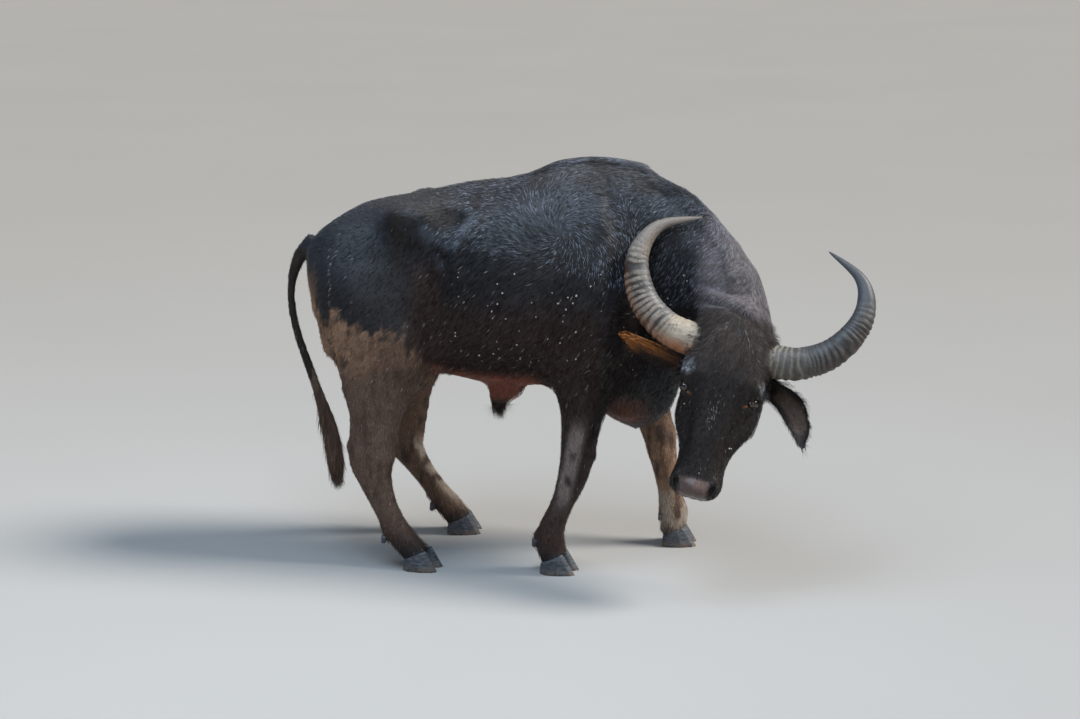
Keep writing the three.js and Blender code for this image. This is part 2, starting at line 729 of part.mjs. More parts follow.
function addHead() {
  const ahead = new THREE.Vector3(1, 0, 0).transformDirection(headPose);
  const across = new THREE.Vector3(0, 1, 0).transformDirection(headPose);
  const rings = Array.from({ length: headRings }, (_, i) => {
    const t = i / (headRings - 1);
    const along = headBack + (headLength - 3 - headBack) * (1 - (1 - t) ** 1.3);
    return ringOnField(headAndNeckFlesh, onHead(along, 0, headMiddle), ahead, across, headSides, 260);
  });
  let head = keepBehind(ringSolid(rings), napePoint, napeAhead.clone().negate());
  for (const left of [false, true]) {
    const side = left ? 'left' : 'right';
    const horn = hornSolid(left, 0);
    const ear = earSolid(ears[side], 0).subtract(hornSolid(left, cutGap));
    addPart(`horn_${side}`, toGeometry(horn), 'horn');
    addPart(`ear_${side}`, toGeometry(ear), 'hide');
    addPart(`eye_${side}`, toGeometry(eyeSolid(left, 0)), 'eye');
    head = head.subtract(hornSolid(left, cutGap));
    head = head.subtract(earSolid(ears[side], 2 * cutGap));
    head = head.subtract(eyeSolid(left, cutGap));
  }
  const [skull, muzzle] = part(head, onHead(muzzleEdge, 0, 0), ahead);
  addPart('head', toGeometry(skull), 'hide');
  addPart('muzzle', toGeometry(muzzle), 'hide');
}

// Legs below the elbow and stifle, down to the coronet, where the claws begin
const legBottom = 34;
const fleshTop = 560;
const legSides = 10;
const legRingSpacing = 50;
const coronetHeight = 58;
const coronetSlope = 24;
const legCuts = { foreleg: [380, 138], hindleg: [455, 142] };
const legPieces = ['upper', 'cannon', 'pastern'];

function addLeg(name, leg) {
  const fore = name.startsWith('fore');
  const whole = limb([...leg.upper.slice(1), ...leg.lower, {
    x: leg.coronet.x, y: leg.coronet.y, z: legBottom + 12, depth: 56, width: 56,
  }]);
  const flesh = (x, y, z) => {
    const bare = whole(x, y, z);
    return z > fleshTop ? smoothMin(bare, trunkFlesh(x, y, z), 10) : bare;
  };
  const route = [...leg.upper.slice(-1), ...leg.lower, { ...leg.coronet, z: legBottom - 4, depth: 62 }];
  route.reverse();
  const count = Math.round((legTop - legBottom) / legRingSpacing);
  const rings = Array.from({ length: count + 1 }, (_, i) => {
    const height = legBottom + ((legTop - legBottom) * i) / count;
    const { x, y, depth } = outlineAt(route, 'z', height);
    const centre = new THREE.Vector3(x, y, height);
    return ringOnField(flesh, centre, up, forward, legSides, 1.3 * depth);
  });
  const turn = THREE.MathUtils.degToRad(leg.coronet.turn);
  const slope = THREE.MathUtils.degToRad(coronetSlope);
  const coronet = new THREE.Vector3(leg.coronet.x, leg.coronet.y, coronetHeight);
  const coronetUp = new THREE.Vector3(0, 0, 1)
    .applyAxisAngle(new THREE.Vector3(0, 1, 0), -slope)
    .applyAxisAngle(up, turn);
  let solid = keepBehind(ringSolid(rings), coronet, coronetUp.clone().negate());
  [solid] = part(solid, new THREE.Vector3(0, 0, legTop), up);
  const inward = new THREE.Vector3(0, leg.coronet.y > 0 ? -1 : 1, 0);
  const inner = inward.clone().multiplyScalar(-(fore ? shoulderInner : haunchInner));
  solid = keepBehind(solid, inner, inward);
  const fetlock = leg.lower[leg.lower.length - 2];
  for (const side of [-1, 1]) {
    const digit = side > 0 ? 'left' : 'right';
    const claw = clawSolid(leg.coronet, side);
    addPart(`hoof_${name}_${digit}`, toGeometry(keepBehind(claw, coronet, coronetUp)), 'hoof');
    const dewclaw = dewclawSolid(fetlock, side, turn, 0);
    addPart(`dewclaw_${name}_${digit}`, toGeometry(dewclaw), 'hoof');
    solid = solid.subtract(dewclawSolid(fetlock, side, turn, cutGap));
  }
  const [kneeCut, fetlockCut] = legCuts[fore ? 'foreleg' : 'hindleg'];
  const [belowKnee, upper] = part(solid, new THREE.Vector3(0, 0, kneeCut), up);
  const [pastern, cannon] = part(belowKnee, new THREE.Vector3(0, 0, fetlockCut), up);
  const pieces = { upper, cannon, pastern };
  for (const piece of legPieces) addPart(`${name}_${piece}`, toGeometry(pieces[piece]), 'dust');
}

const clawSides = 9;
const clawLevels = [0, 9, 40, 96];
const toeSlope = 0.62;
const heelSlope = 0.12;
const soleBevel = 2;

// One claw: a flat sole, walls that lean back to the coronet and a blunt toe
function clawSolid(coronet, side) {
  const turn = THREE.MathUtils.degToRad(coronet.turn);
  const offset = side * (clawWidth + clawCleft) / 2;
  const rings = clawLevels.map((height) => {
    const toe = clawLength / 2 + clawForward - height * toeSlope;
    const heel = -clawLength / 2 + clawForward + height * heelSlope;
    const half = (clawWidth / 2) * (1 - height * 0.0016) - (height === 0 ? soleBevel : 0);
    return Array.from({ length: clawSides }, (_, i) => {
      const angle = (2 * Math.PI * i) / clawSides;
      const long = (toe + heel) / 2 + ((toe - heel) / 2) * Math.cos(angle);
      const wide = half * Math.sin(angle) * (1 - 0.22 * Math.cos(angle)) + offset;
      const x = coronet.x + long * Math.cos(turn) - wide * Math.sin(turn);
      const y = coronet.y + long * Math.sin(turn) + wide * Math.cos(turn);
      return new THREE.Vector3(x, y, height);
    });
  });
  return ringSolid(rings);
}

const dewclawRadii = [14, 8];
const dewclawLength = 30;
const dewclawOffset = 24;

function dewclawSolid(fetlock, side, turn, grow) {
  const [root, tip] = dewclawRadii;
  const claw = new THREE.CylinderGeometry(root + grow, tip + grow, dewclawLength + 2 * grow, 7);
  claw.rotateX(Math.PI / 2);
  claw.rotateY(THREE.MathUtils.degToRad(14));
  claw.translate(10 - fetlock.depth, side * dewclawOffset, -dewclawOffset);
  claw.rotateZ(turn);
  claw.translate(fetlock.x, fetlock.y, fetlock.z);
  return toSolid(claw);
}

// Tail: its root leaves the rump, and the tuft ends clear of the floor
const tailSides = 7;
const tailCuts = [900, 520];

function addTail() {
  const route = refine(tailRoute, 2);
  const rings = route.map((station, i) => {
    const before = route[Math.max(i - 1, 0)];
    const after = route[Math.min(i + 1, route.length - 1)];
    const heading = new THREE.Vector3(after.x - before.x, after.y - before.y, after.z - before.z);
    const across = new THREE.Vector3(0, 1, 0);
    const rise = new THREE.Vector3().crossVectors(heading.normalize(), across).normalize();
    return Array.from({ length: tailSides }, (_, n) => {
      const angle = (2 * Math.PI * n) / tailSides;
      const point = new THREE.Vector3(station.x, station.y, station.z);
      point.addScaledVector(across, station.radius * Math.cos(angle));
      return point.addScaledVector(rise, station.radius * Math.sin(angle));
    });
  });
  const whole = ringSolid(rings);
  const [below, above] = part(whole, new THREE.Vector3(0, 0, tailCuts[0]), up);
  const [tuft, middle] = part(below, new THREE.Vector3(0, 0, tailCuts[1]), up);
  const [root] = part(above, tailEdge, forward);
  addPart('tail_root', toGeometry(root), 'hide');
  addPart('tail_middle', toGeometry(middle), 'hide');
  addPart('tail_switch', toGeometry(tuft), 'hide');
}

addTrunk();
addHead();
for (const [name, leg] of Object.entries(legs)) addLeg(name, leg);
addTail();

// The origin goes to the middle of the animal's outline on the floor
const outline = new THREE.Box3().setFromObject(buffalo);
const centre = outline.getCenter(new THREE.Vector3());
for (const mesh of buffalo.children) mesh.position.set(-centre.x, -centre.y, 0);

export default buffalo;
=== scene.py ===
import json
import math
from contextlib import contextmanager

import bpy
import numpy as np
from mathutils import Euler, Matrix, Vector
from mathutils.bvhtree import BVHTree

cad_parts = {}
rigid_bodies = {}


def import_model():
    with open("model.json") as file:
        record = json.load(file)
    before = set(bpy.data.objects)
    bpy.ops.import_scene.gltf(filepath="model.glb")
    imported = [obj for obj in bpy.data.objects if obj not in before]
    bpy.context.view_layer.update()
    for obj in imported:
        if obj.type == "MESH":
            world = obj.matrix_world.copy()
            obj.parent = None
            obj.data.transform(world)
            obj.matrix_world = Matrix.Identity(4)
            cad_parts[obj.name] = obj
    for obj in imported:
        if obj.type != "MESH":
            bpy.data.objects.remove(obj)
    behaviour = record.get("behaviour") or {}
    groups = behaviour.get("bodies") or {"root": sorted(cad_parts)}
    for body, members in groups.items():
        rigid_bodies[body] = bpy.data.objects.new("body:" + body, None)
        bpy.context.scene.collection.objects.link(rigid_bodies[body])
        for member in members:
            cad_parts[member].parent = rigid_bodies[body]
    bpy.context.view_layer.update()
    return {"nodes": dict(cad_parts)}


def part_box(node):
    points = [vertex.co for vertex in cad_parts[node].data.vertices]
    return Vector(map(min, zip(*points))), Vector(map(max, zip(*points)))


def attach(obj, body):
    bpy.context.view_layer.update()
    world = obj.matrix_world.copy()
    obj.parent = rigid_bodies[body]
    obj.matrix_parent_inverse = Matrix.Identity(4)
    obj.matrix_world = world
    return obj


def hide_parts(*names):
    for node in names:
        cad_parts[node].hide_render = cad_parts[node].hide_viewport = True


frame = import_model()
nodes = frame["nodes"]
rng = np.random.default_rng(11)

legNames = ["foreleg_right", "foreleg_left", "hindleg_right", "hindleg_left"]
trunkNodes = ["head", "muzzle", "neck", "chest", "barrel", "rump", "sheath", "scrotum"]
trunkNodes += ["shoulder_right", "shoulder_left", "haunch_right", "haunch_left", "ear_right", "ear_left"]
tailNodes = ["tail_root", "tail_middle", "tail_switch"]
legNodes = [f"{leg}_{piece}" for leg in legNames for piece in ("upper", "cannon", "pastern")]
hoofNodes = [f"hoof_{leg}_{digit}" for leg in legNames for digit in ("right", "left")]
dewclawNodes = [f"dewclaw_{leg}_{digit}" for leg in legNames for digit in ("right", "left")]
fleshNodes = trunkNodes + tailNodes + legNodes

# the head's own frame: along the face, to its left, out of the forehead (mm from the poll)
headPose = {"place": (770, -360, 968), "turn": -114, "drop": 59, "tilt": -23}
eyePlace = {"along": 268, "side": 115, "out": -55, "radius": 20}
headTurn = Euler([math.radians(headPose[key]) for key in ("tilt", "drop", "turn")], "XYZ").to_matrix()
headAxes = np.array(headTurn)


def bodyPoint(x, y, z):
    return np.array([x, y, z]) / 1000 + bodyOrigin


def headPoint(along, side, out):
    return headAxes @ np.array([along, side, out]) / 1000 + bodyPoint(*headPose["place"])


bodyOrigin = np.zeros(3)
lowEye, highEye = (np.array(corner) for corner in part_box("eye_right"))
bodyOrigin = (lowEye + highEye) / 2 - headPoint(eyePlace["along"], -eyePlace["side"], eyePlace["out"])
bodyOrigin[2] = 0
print("body origin", np.round(bodyOrigin, 4))


def toHead(points):
    return (points - bodyPoint(*headPose["place"])) @ headAxes * 1000


def fromHead(head):
    return head / 1000 @ headAxes.T + bodyPoint(*headPose["place"])


def toBody(points):
    return (points - bodyOrigin) * 1000


# camera, floor and lights
view = {"place": (1511, -9317, 2806), "target": (60, -156.6, 750), "lens": 90.88}
bpy.ops.object.select_all(action="DESELECT")
bpy.ops.object.camera_add(location=bodyPoint(*view["place"]))
camera = bpy.context.object
camera.name = "camera"
aim = Vector(bodyPoint(*view["target"])) - camera.location
camera.rotation_euler = aim.to_track_quat("-Z", "Y").to_euler()
camera.data.lens = view["lens"]
camera.data.sensor_width = 36
camera.data.clip_end = 100
bpy.context.scene.camera = camera

bpy.ops.mesh.primitive_plane_add(size=60)
floor = bpy.context.object
floor.name = "floor"

lights = {
    "key": {"place": (4.4, 0.4, 5.4), "power": 4.3, "color": (1.0, 0.95, 0.88), "angle": 24},
    "sky": {"place": (-0.8, -2.2, 5.4), "power": 230, "color": (0.64, 0.81, 1.0), "size": 3.8},
    "front": {"place": (2.4, -8.5, 4.2), "power": 62, "color": (0.95, 0.97, 1.0), "size": 4.0},
}
for name, light in lights.items():
    bpy.ops.object.light_add(type="SUN" if "angle" in light else "AREA", location=light["place"])
    lamp = bpy.context.object
    lamp.name = name
    lamp.data.energy = light["power"]
    lamp.data.color = light["color"]
    if "angle" in light:
        lamp.data.angle = math.radians(light["angle"])
    else:
        lamp.data.size = light["size"]
    lamp.rotation_euler = (Vector((0, 0, 0.8)) - lamp.location).to_track_quat("-Z", "Y").to_euler()
backdrop = {"Color": (0.84, 0.91, 1.0, 1), "Strength": 0.21}
world = bpy.data.worlds.new("studio")
world.use_nodes = True
for socket, value in backdrop.items():
    world.node_tree.nodes["Background"].inputs[socket].default_value = value
bpy.context.scene.world = world
bpy.context.scene.view_settings.view_transform = "Standard"
print("stage set")


# working on a mesh's points
def fetch(items, key, width=1, kind=float):
    flat = np.empty(len(items) * width, dtype=kind)
    items.foreach_get(key, flat)
    return flat.reshape(-1, width) if width > 1 else flat


def pointsOf(obj):
    return fetch(obj.data.vertices, "co", 3)


def setPoints(obj, points):
    obj.data.vertices.foreach_set("co", np.ascontiguousarray(points, dtype=np.float32).ravel())
    obj.data.update()


def normalsOf(obj):
    return fetch(obj.data.vertex_normals, "vector", 3)


def edgesOf(obj):
    return fetch(obj.data.edges, "vertices", 2, np.int64)


def ramp(value, low, high):
    t = np.clip((value - low) / (high - low), 0, 1)
    return t * t * (3 - 2 * t)


def relax(points, edges, weight, rounds, swell):
    # moves each point towards its neighbours, and back out by swell so that limbs keep their girth
    a, b = edges[:, 0], edges[:, 1]
    total = len(points)
    count = np.bincount(a, minlength=total) + np.bincount(b, minlength=total)
    weight = np.broadcast_to(np.asarray(weight, dtype=float), total)[:, None]
    for _ in range(rounds):
        for factor in (0.5, -swell) if swell else (0.5,):
            sums = [np.bincount(a, axis[b], total) + np.bincount(b, axis[a], total) for axis in points.T]
            points = points + factor * weight * (np.stack(sums, 1) / count[:, None] - points)
    return points


def select(*pieces):
    # these alone are selected, and the last one is active
    bpy.ops.object.select_all(action="DESELECT")
    for piece in pieces:
        piece.select_set(True)
    bpy.context.view_layer.objects.active = pieces[-1]


@contextmanager
def editing(piece):
    # edit mode, with all of the piece's mesh selected at its start
    select(piece)
    bpy.ops.object.mode_set(mode="EDIT")
    bpy.ops.mesh.select_all(action="SELECT")
    yield
    bpy.ops.object.mode_set(mode="OBJECT")


def smooth(piece):
    select(piece)
    bpy.ops.object.shade_smooth()


weld = 1e-5


def copyOf(names, newName):
    select(*(nodes[name] for name in reversed(names)))
    bpy.ops.object.duplicate()
    bpy.context.view_layer.objects.active = bpy.context.selected_objects[0]
    if len(names) > 1:
        bpy.ops.object.join()
    made = bpy.context.object
    made.name = newName
    with editing(made):
        bpy.ops.mesh.remove_doubles(threshold=weld)
    return made


def applyModifier(obj, kind, **settings):
    select(obj)
    bpy.ops.object.modifier_add(type=kind)
    modifier = obj.modifiers[-1]
    for key, value in settings.items():
        setattr(modifier, key, value)
    bpy.ops.object.modifier_apply(modifier=modifier.name)


# skin: the flesh solids joined into one, with their facets relaxed, inside the solids by the coat's depth
skinMake = {
    "gapFill": 0.0013, "voxel": 0.0095, "coatDepth": 0.005, "earFill": 0.004,
    "plugEnd": (100, 146, -60),  # where the horns are cut off inside the skin, in the head's frame
}
relaxing = {
    "all": (10, 0.51), "trunk": (46, 0), "head": (5, 0), "face": (6, 0.52),
    "muzzle": (26, 0.35), "sculpted": (4, 0), "lids": (2, 0),
}
plugs = []
for side, sign in (("right", -1), ("left", 1)):
    plug = copyOf([f"horn_{side}"], f"plug_{side}")
    along, cut, out = skinMake["plugEnd"]
    outward = Vector(headAxes[:, 1] * sign)
    with editing(plug):
        bpy.ops.mesh.bisect(plane_co=headPoint(along, sign * cut, out), plane_no=outward, use_fill=True,
                            clear_outer=True)
    plugs.append(plug)
earNodes = ["ear_right", "ear_left"]
earCopy = copyOf(earNodes, "earCopy")
setPoints(earCopy, pointsOf(earCopy) + normalsOf(earCopy) * skinMake["earFill"])
otherNodes = [name for name in fleshNodes if name not in earNodes]
skin = copyOf(otherNodes + dewclawNodes + hoofNodes + ["eye_right", "eye_left"], "skin")
select(*plugs, earCopy, skin)
bpy.ops.object.join()
setPoints(skin, pointsOf(skin) + normalsOf(skin) * skinMake["gapFill"])
applyModifier(skin, "REMESH", mode="VOXEL", voxel_size=skinMake["voxel"])

points = pointsOf(skin)
edges = edgesOf(skin)
x, y, z = points.T
onHead = ramp(toHead(points)[:, 0], -120, -40) * ramp(-y, 0.02, 0.1)
trunk = np.maximum(ramp(z, 0.56, 0.74), ramp(x, 0.06, 0.12) * ramp(z, 0.5, 0.54))
trunk = trunk * ramp(x, -0.93, -0.87) * (1 - onHead)
points = relax(points, edges, 1, *relaxing["all"])
points = relax(points, edges, trunk, *relaxing["trunk"])
points = relax(points, edges, onHead, *relaxing["head"])
setPoints(skin, points)
setPoints(skin, points - normalsOf(skin) * skinMake["coatDepth"])
print("skin joined", len(points))


# the ears are drawn thin again over the same route as the solids
earShape = {
    "right": {"root": (188, -112, -132), "aim": (-30, -235, 90), "bow": (10, 0, -20),
              "open": (0.92, 0.12, 0.38), "tassel": 6},
    "left": {"root": (172, 116, -132), "aim": (222, 226, 5), "bow": (-36, 28, 0),
             "open": (0.1, -0.2, 0.94), "tassel": 26},
}
earSize = {"length": 280, "width": 92, "thick": 9, "tip": 4.5}


def unit(vector):
    vector = np.asarray(vector, dtype=float)
    return vector / np.linalg.norm(vector, axis=-1, keepdims=True)


def earPlaces(head, side):
    # how far along the ear, across it and out of its hollow, in mm
    ear = earShape[side]
    aim = unit(ear["aim"])
    across = unit(np.cross(ear["open"], aim))
    opening = np.cross(aim, across)
    offset = head - np.array(ear["root"])
    t = offset @ aim / earSize["length"]
    offset = offset - np.outer(4 * t * (1 - t), ear["bow"])
    return t, offset @ across, offset @ opening, aim, across, opening


def earHalf(t):
    t = np.clip(t, 0, 1)
    leaf = 0.45 + 0.55 * np.sin(np.pi * (0.12 + 0.8 * t))
    return earSize["width"] / 2 * leaf * np.sqrt(1 - 0.97 * t ** 6)


def earMask(head, side):
    t, wide, deep, *_ = earPlaces(head, side)
    near = (t > 0) & (t < 1.08) & (np.abs(wide) < 62) & (np.abs(deep) < 46)
    return np.where(near, ramp(t, 0.12, 0.3), 0)


def thinEars(skin):
    # the remeshed ears are short and thick, so they are drawn out to the whole outline again
    points = pointsOf(skin)
    normals = normalsOf(skin) @ headAxes
    head = toHead(points)
    for side in earShape:
        mask = earMask(head, side)
        t, wide, deep, aim, across, opening = earPlaces(head, side)
        onEar = mask > 0.5
        tip = t[onEar].max()
        slices = np.linspace(0.2, tip, 16)
        girth = [np.abs(wide[onEar & (np.abs(t - place) < 0.04)]).max() for place in slices]
        girth[-1] = min(girth[-1], girth[-2] * 0.7)
        longer = t + ramp(t, 0.2, tip) * (1 - tip)
        half = earHalf(longer)
        place = np.clip(wide / np.interp(t, slices, girth), -1, 1)
        middle = -0.5 * half * (1 - place ** 2)
        thick = earSize["thick"] + (earSize["tip"] - earSize["thick"]) * np.clip(longer, 0, 1)
        thick = thick * (1 - 0.5 * np.abs(place) ** 3)
        target = middle + normals @ opening * thick / 2
        bowed = 4 * (longer * (1 - longer) - t * (1 - t))
        move = np.outer((target - deep) * mask, opening) + np.outer((place * half - wide) * mask, across)
        move += np.outer((longer - t) * earSize["length"] * mask, aim)
        move += np.outer(bowed * mask, earShape[side]["bow"])
        points = points + (move @ headAxes.T) / 1000
    setPoints(skin, points)


thinEars(skin)


def subdivideWhere(obj, chosen):
    # the faces whose points are all chosen are divided once more
    loops = fetch(obj.data.loops, "vertex_index", kind=np.int64)
    starts = fetch(obj.data.polygons, "loop_start", kind=np.int64)
    faces = np.minimum.reduceat(chosen[loops].astype(int), starts).astype(bool)
    with editing(obj):
        bpy.ops.mesh.select_mode(type="FACE")
        bpy.ops.mesh.select_all(action="DESELECT")
    obj.data.polygons.foreach_set("select", faces)
    bpy.ops.object.mode_set(mode="EDIT")
    bpy.ops.mesh.subdivide(number_cuts=1)
    bpy.ops.object.mode_set(mode="OBJECT")


eyes = {"right": {"sign": -1}, "left": {"sign": 1}}
for side, eye in eyes.items():
    eye["centre"] = np.array([eyePlace["along"], eye["sign"] * eyePlace["side"], eyePlace["out"]])
    eye["ahead"] = unit([0.14, 0.72 * eye["sign"], 0.68])
    inward = np.array([0.5, -0.72 * eye["sign"], 0.45])
    eye["long"] = unit(inward - eye["ahead"] * (inward @ eye["ahead"]))
    eye["up"] = np.cross(eye["ahead"], eye["long"]) * -eye["sign"]
nostrils = [np.array([585, sign * 62, -62]) for sign in (-1, 1)]

headZone = {"start": -60, "side": 420, "low": -330, "high": 90, "near": -150}
fineReach = {"eye": 58, "nostril": 46}
points = pointsOf(skin)
along, side, out = toHead(points).T
onHead = (along > headZone["start"]) & (np.abs(side) < headZone["side"]) & (out > headZone["low"])
subdivideWhere(skin, onHead & (out < headZone["high"]) & (toBody(points)[:, 1] < headZone["near"]))
points = pointsOf(skin)
head = toHead(points)
onHead = ramp(head[:, 0], headZone["start"], 0) * ramp(-points[:, 1], -0.02, 0.05)
ears = earMask(head, "right") + earMask(head, "left")
points = relax(points, edgesOf(skin), onHead * (1 - np.clip(ears, 0, 1)), *relaxing["face"])
setPoints(skin, points)
head = toHead(points)
fine = np.zeros(len(points), dtype=bool)
for eye in eyes.values():
    fine |= np.linalg.norm(head - eye["centre"], axis=1) < fineReach["eye"]
for nostril in nostrils:
    fine |= np.linalg.norm(head - nostril, axis=1) < fineReach["nostril"]
subdivideWhere(skin, fine)
print("head divided", len(skin.data.vertices))


def reachOf(points, path):
    # each point's distance from a path, and its place along it from 0 to 1
    path = np.asarray(path, dtype=float)
    nearest = np.linalg.norm(points - path[0], axis=1)
    place = np.full(len(points), 0.5 if len(path) == 1 else 0.0)
    for i, (a, b) in enumerate(zip(path[:-1], path[1:])):
        along = b - a
        t = np.clip((points - a) @ along / max(along @ along, 1e-12), 0, 1)
        reach = np.linalg.norm(points - a - t[:, None] * along, axis=1)
        closer = reach < nearest
        nearest = np.where(closer, reach, nearest)
        place = np.where(closer, (i + t) / (len(path) - 1), place)
    return nearest, place


# a stroke raised from the skin along a path, or pressed into it where the height is below 0
def stroke(points, path, radius, height, normals):
    nearest, place = reachOf(points, path)
    taper = 0.35 + 0.65 * ramp(place, 0, 0.3) * ramp(1 - place, 0, 0.3)
    if len(path) < 3:
        taper = 1
    fall = np.clip(1 - (nearest / radius) ** 2, 0, 1) ** 2
    return points + normals * (fall * height * taper)[:, None]


def treeOf(obj):
    obj.data.calc_loop_triangles()
    corners = fetch(obj.data.loop_triangles, "vertices", 3, np.int32)
    return BVHTree.FromPolygons([tuple(p) for p in pointsOf(obj)], corners.tolist())


# the relief of the body, on both sides: radius and height in mm, and the path
bodyStrokes = {
    "hook bone": (66, 11, [(-398, -190, 1270), (-425, -172, 1266)]),
    "ridge down from it": (70, 8, [(-405, -195, 1262), (-450, -200, 1215), (-492, -215, 1150)]),
    "hollow before it": (62, -15, [(-286, -190, 1258), (-240, -188, 1254)]),
    "fold from hook": (42, 6, [(-345, -222, 1255), (-292, -226, 1212), (-236, -240, 1165)]),
    "edge of last rib": (50, 12, [(-120, -175, 1288), (-172, -215, 1228), (-226, -240, 1166)]),
    "flank crease": (84, -16, [(-345, -240, 1180), (-312, -246, 1105), (-288, -262, 1020),
                               (-300, -262, 920)]),
    "loin": (62, -7, [(-300, -112, 1310), (-100, -122, 1335)]),
    "spine": (42, 7, [(-420, 0, 1312), (-200, 0, 1345), (-40, 0, 1370)]),
    "thigh": (120, 9, [(-600, -250, 1000), (-560, -280, 880)]),
    "thigh groove": (42, -9, [(-690, -190, 1000), (-690, -235, 860), (-650, -250, 720)]),
    "stifle": (84, 9, [(-400, -280, 830), (-390, -270, 750)]),
    "flank fold": (30, 9, [(-352, -215, 738), (-290, -195, 722), (-225, -140, 690)]),
    "shoulder blade": (48, 8, [(250, -150, 1330), (300, -230, 1180), (300, -285, 1000)]),
    "before the shoulder": (62, -10, [(400, -150, 1250), (430, -200, 1100), (420, -215, 950)]),
    "triceps": (42, 11, [(135, -270, 760), (140, -290, 830), (200, -297, 920), (270, -292, 1000)]),
    "behind it": (46, -9, [(78, -300, 690), (84, -310, 800), (138, -320, 930)]),
    "elbow": (44, 12, [(146, -250, 665), (146, -258, 690)]),
    "forearm": (38, 6, [(232, -266, 670), (222, -264, 600), (212, -256, 520)]),
    "brisket fold": (36, 9, [(300, -90, 560), (380, -110, 545), (450, -70, 600)]),
}
# folds on the near side only, where the neck is turned
nearStrokes = {
    "poll fold": (17, -9, [(628, -276, 1002), (702, -339, 1002), (773, -370, 978), (842, -380, 913)]),
    "roll behind it": (26, 7, [(600, -262, 1030), (690, -316, 1030), (775, -345, 1004), (850, -350, 940)]),
    "second fold": (15, -5, [(590, -250, 1062), (660, -290, 1062), (730, -312, 1040)]),
    "neck crease": (22, -7, [(585, -270, 985), (560, -262, 1040), (575, -235, 1100)]),
    "throat fold": (26, 8, [(600, -290, 850), (560, -270, 780), (520, -230, 720)]),
    "throat crease": (18, -7, [(640, -300, 800), (600, -290, 730), (560, -250, 680)]),
}
# each limb's line below its upper joint: joint, middle and fetlock
limbBones = {
    "foreleg_right": [(196, -210, 400), (150, -209, 260), (102, -208, 130)],
    "foreleg_left": [(440, 207, 400), (466, 207, 260), (494, 207, 130)],
    "hindleg_right": [(-526, -241, 385), (-490, -242, 245), (-434, -242, 128)],
    "hindleg_left": [(-515, 239, 345), (-440, 241, 225), (-362, 242, 120)],
}
# the relief of the head, on both sides, in the head's own frame
headStrokes = {
    "brow": (25, 9, [(205, 116, -26), (250, 134, -28), (298, 126, -48)]),
    "temple": (30, -7, [(160, 132, -92), (215, 138, -100)]),
    "bridge edge": (32, 4, [(230, 52, 0), (380, 42, -22), (520, 34, -42)]),
    "beside the bridge": (28, -8, [(320, 88, -42), (400, 74, -52), (480, 62, -62)]),
    "cheek crest": (20, 7, [(316, 116, -96), (390, 100, -104), (450, 86, -108)]),
    "below the crest": (28, -7, [(370, 104, -140), (450, 84, -140)]),
    "jaw muscle": (58, 9, [(250, 112, -190), (320, 102, -200)]),
    "jaw edge": (30, 6, [(240, 84, -250), (340, 76, -236), (440, 62, -200)]),
    "tear groove": (12, -4, [(306, 118, -56), (345, 102, -66)]),
    "poll": (70, 7, [(0, 40, -10), (60, 60, 8)]),
    "forehead side": (50, 5, [(120, 92, 10), (210, 84, 6)]),
    "nostril wing": (20, 7, [(556, 70, -58), (588, 78, -74), (612, 62, -92)]),
    "lip": (16, 5, [(610, 30, -140), (560, 74, -146), (500, 84, -150)]),
    "mouth": (8, -7, [(632, 10, -128), (600, 60, -136), (540, 80, -142), (465, 88, -152)]),
    "chin": (40, 7, [(570, 22, -176)]),
    "pad": (44, 9, [(596, 0, -70), (606, 24, -78)]),
}


def sculpt(skin):
    points, normals = pointsOf(skin), normalsOf(skin)
    tree = treeOf(skin)

    def press(radius, height, path):
        nonlocal points
        onSkin = [tree.find_nearest(Vector(p))[0] for p in path]
        points = stroke(points, onSkin, radius / 1000, height / 1000, normals)

    for radius, height, path in bodyStrokes.values():
        for sign in (1, -1):
            press(radius, height, [bodyPoint(x, sign * y, z) for x, y, z in path])
    for radius, height, path in nearStrokes.values():
        press(radius, height, [bodyPoint(*p) for p in path])
    for name, route in limbBones.items():
        joint, middle, fetlock = (np.array(p) for p in route)
        for sign in (-1, 1):
            top, shin, foot = (p + (-6, sign * 48, 0) for p in (joint, middle, fetlock))
            groove = (0.25 * top + 0.75 * shin, shin, 0.35 * shin + 0.65 * foot)
            press(17, -6, [bodyPoint(*p) for p in groove])
            press(34, 6, [bodyPoint(*joint + (30, sign * 36, 6))])
        press(42, 6, [bodyPoint(*joint + (70 if name.startswith("fore") else 40, 0, 20))])
        press(34, 5, [bodyPoint(*fetlock + (-60, 0, 8))])
        if name.startswith("hind"):
            for sign in (-1, 1):
                hollow = (joint + (-20, sign * 46, 70), joint + (-34, sign * 56, 150))
                press(26, -11, [bodyPoint(*p) for p in hollow])
            press(36, 9, [bodyPoint(*joint + (-96, 0, 48))])
    for radius, height, path in headStrokes.values():
        for sign in (1, -1):
            press(radius, height, [headPoint(along, sign * side, out) for along, side, out in path])
    calm = ramp(toBody(points)[:, 2], 560, 700) * (1 - ramp(toHead(points)[:, 0], -60, 0))
    setPoints(skin, relax(points, edgesOf(skin), calm, *relaxing["sculpted"]))


head = toHead(pointsOf(skin))
muzzle = ramp(head[:, 0], 500, 580) * (np.abs(head[:, 1]) < 130)
setPoints(skin, relax(pointsOf(skin), edgesOf(skin), muzzle, *relaxing["muzzle"]))
sculpt(skin)


# lids round each eye: an almond opening whose rim stands just proud of the eyeball
lids = {
    "halfLong": 25, "halfHigh": 12.5, "rim": 3.2, "behind": 7, "reach": 2.3,
    "folds": ((19, 5, -3.0), (26, 6, 2.2), (-16, 5, -2.2), (-22, 6, 1.8)),  # height, radius and push
}


def eyeLocal(head, eye):
    offset = head - eye["centre"]
    return offset @ eye["long"], offset @ eye["up"], offset @ eye["ahead"]


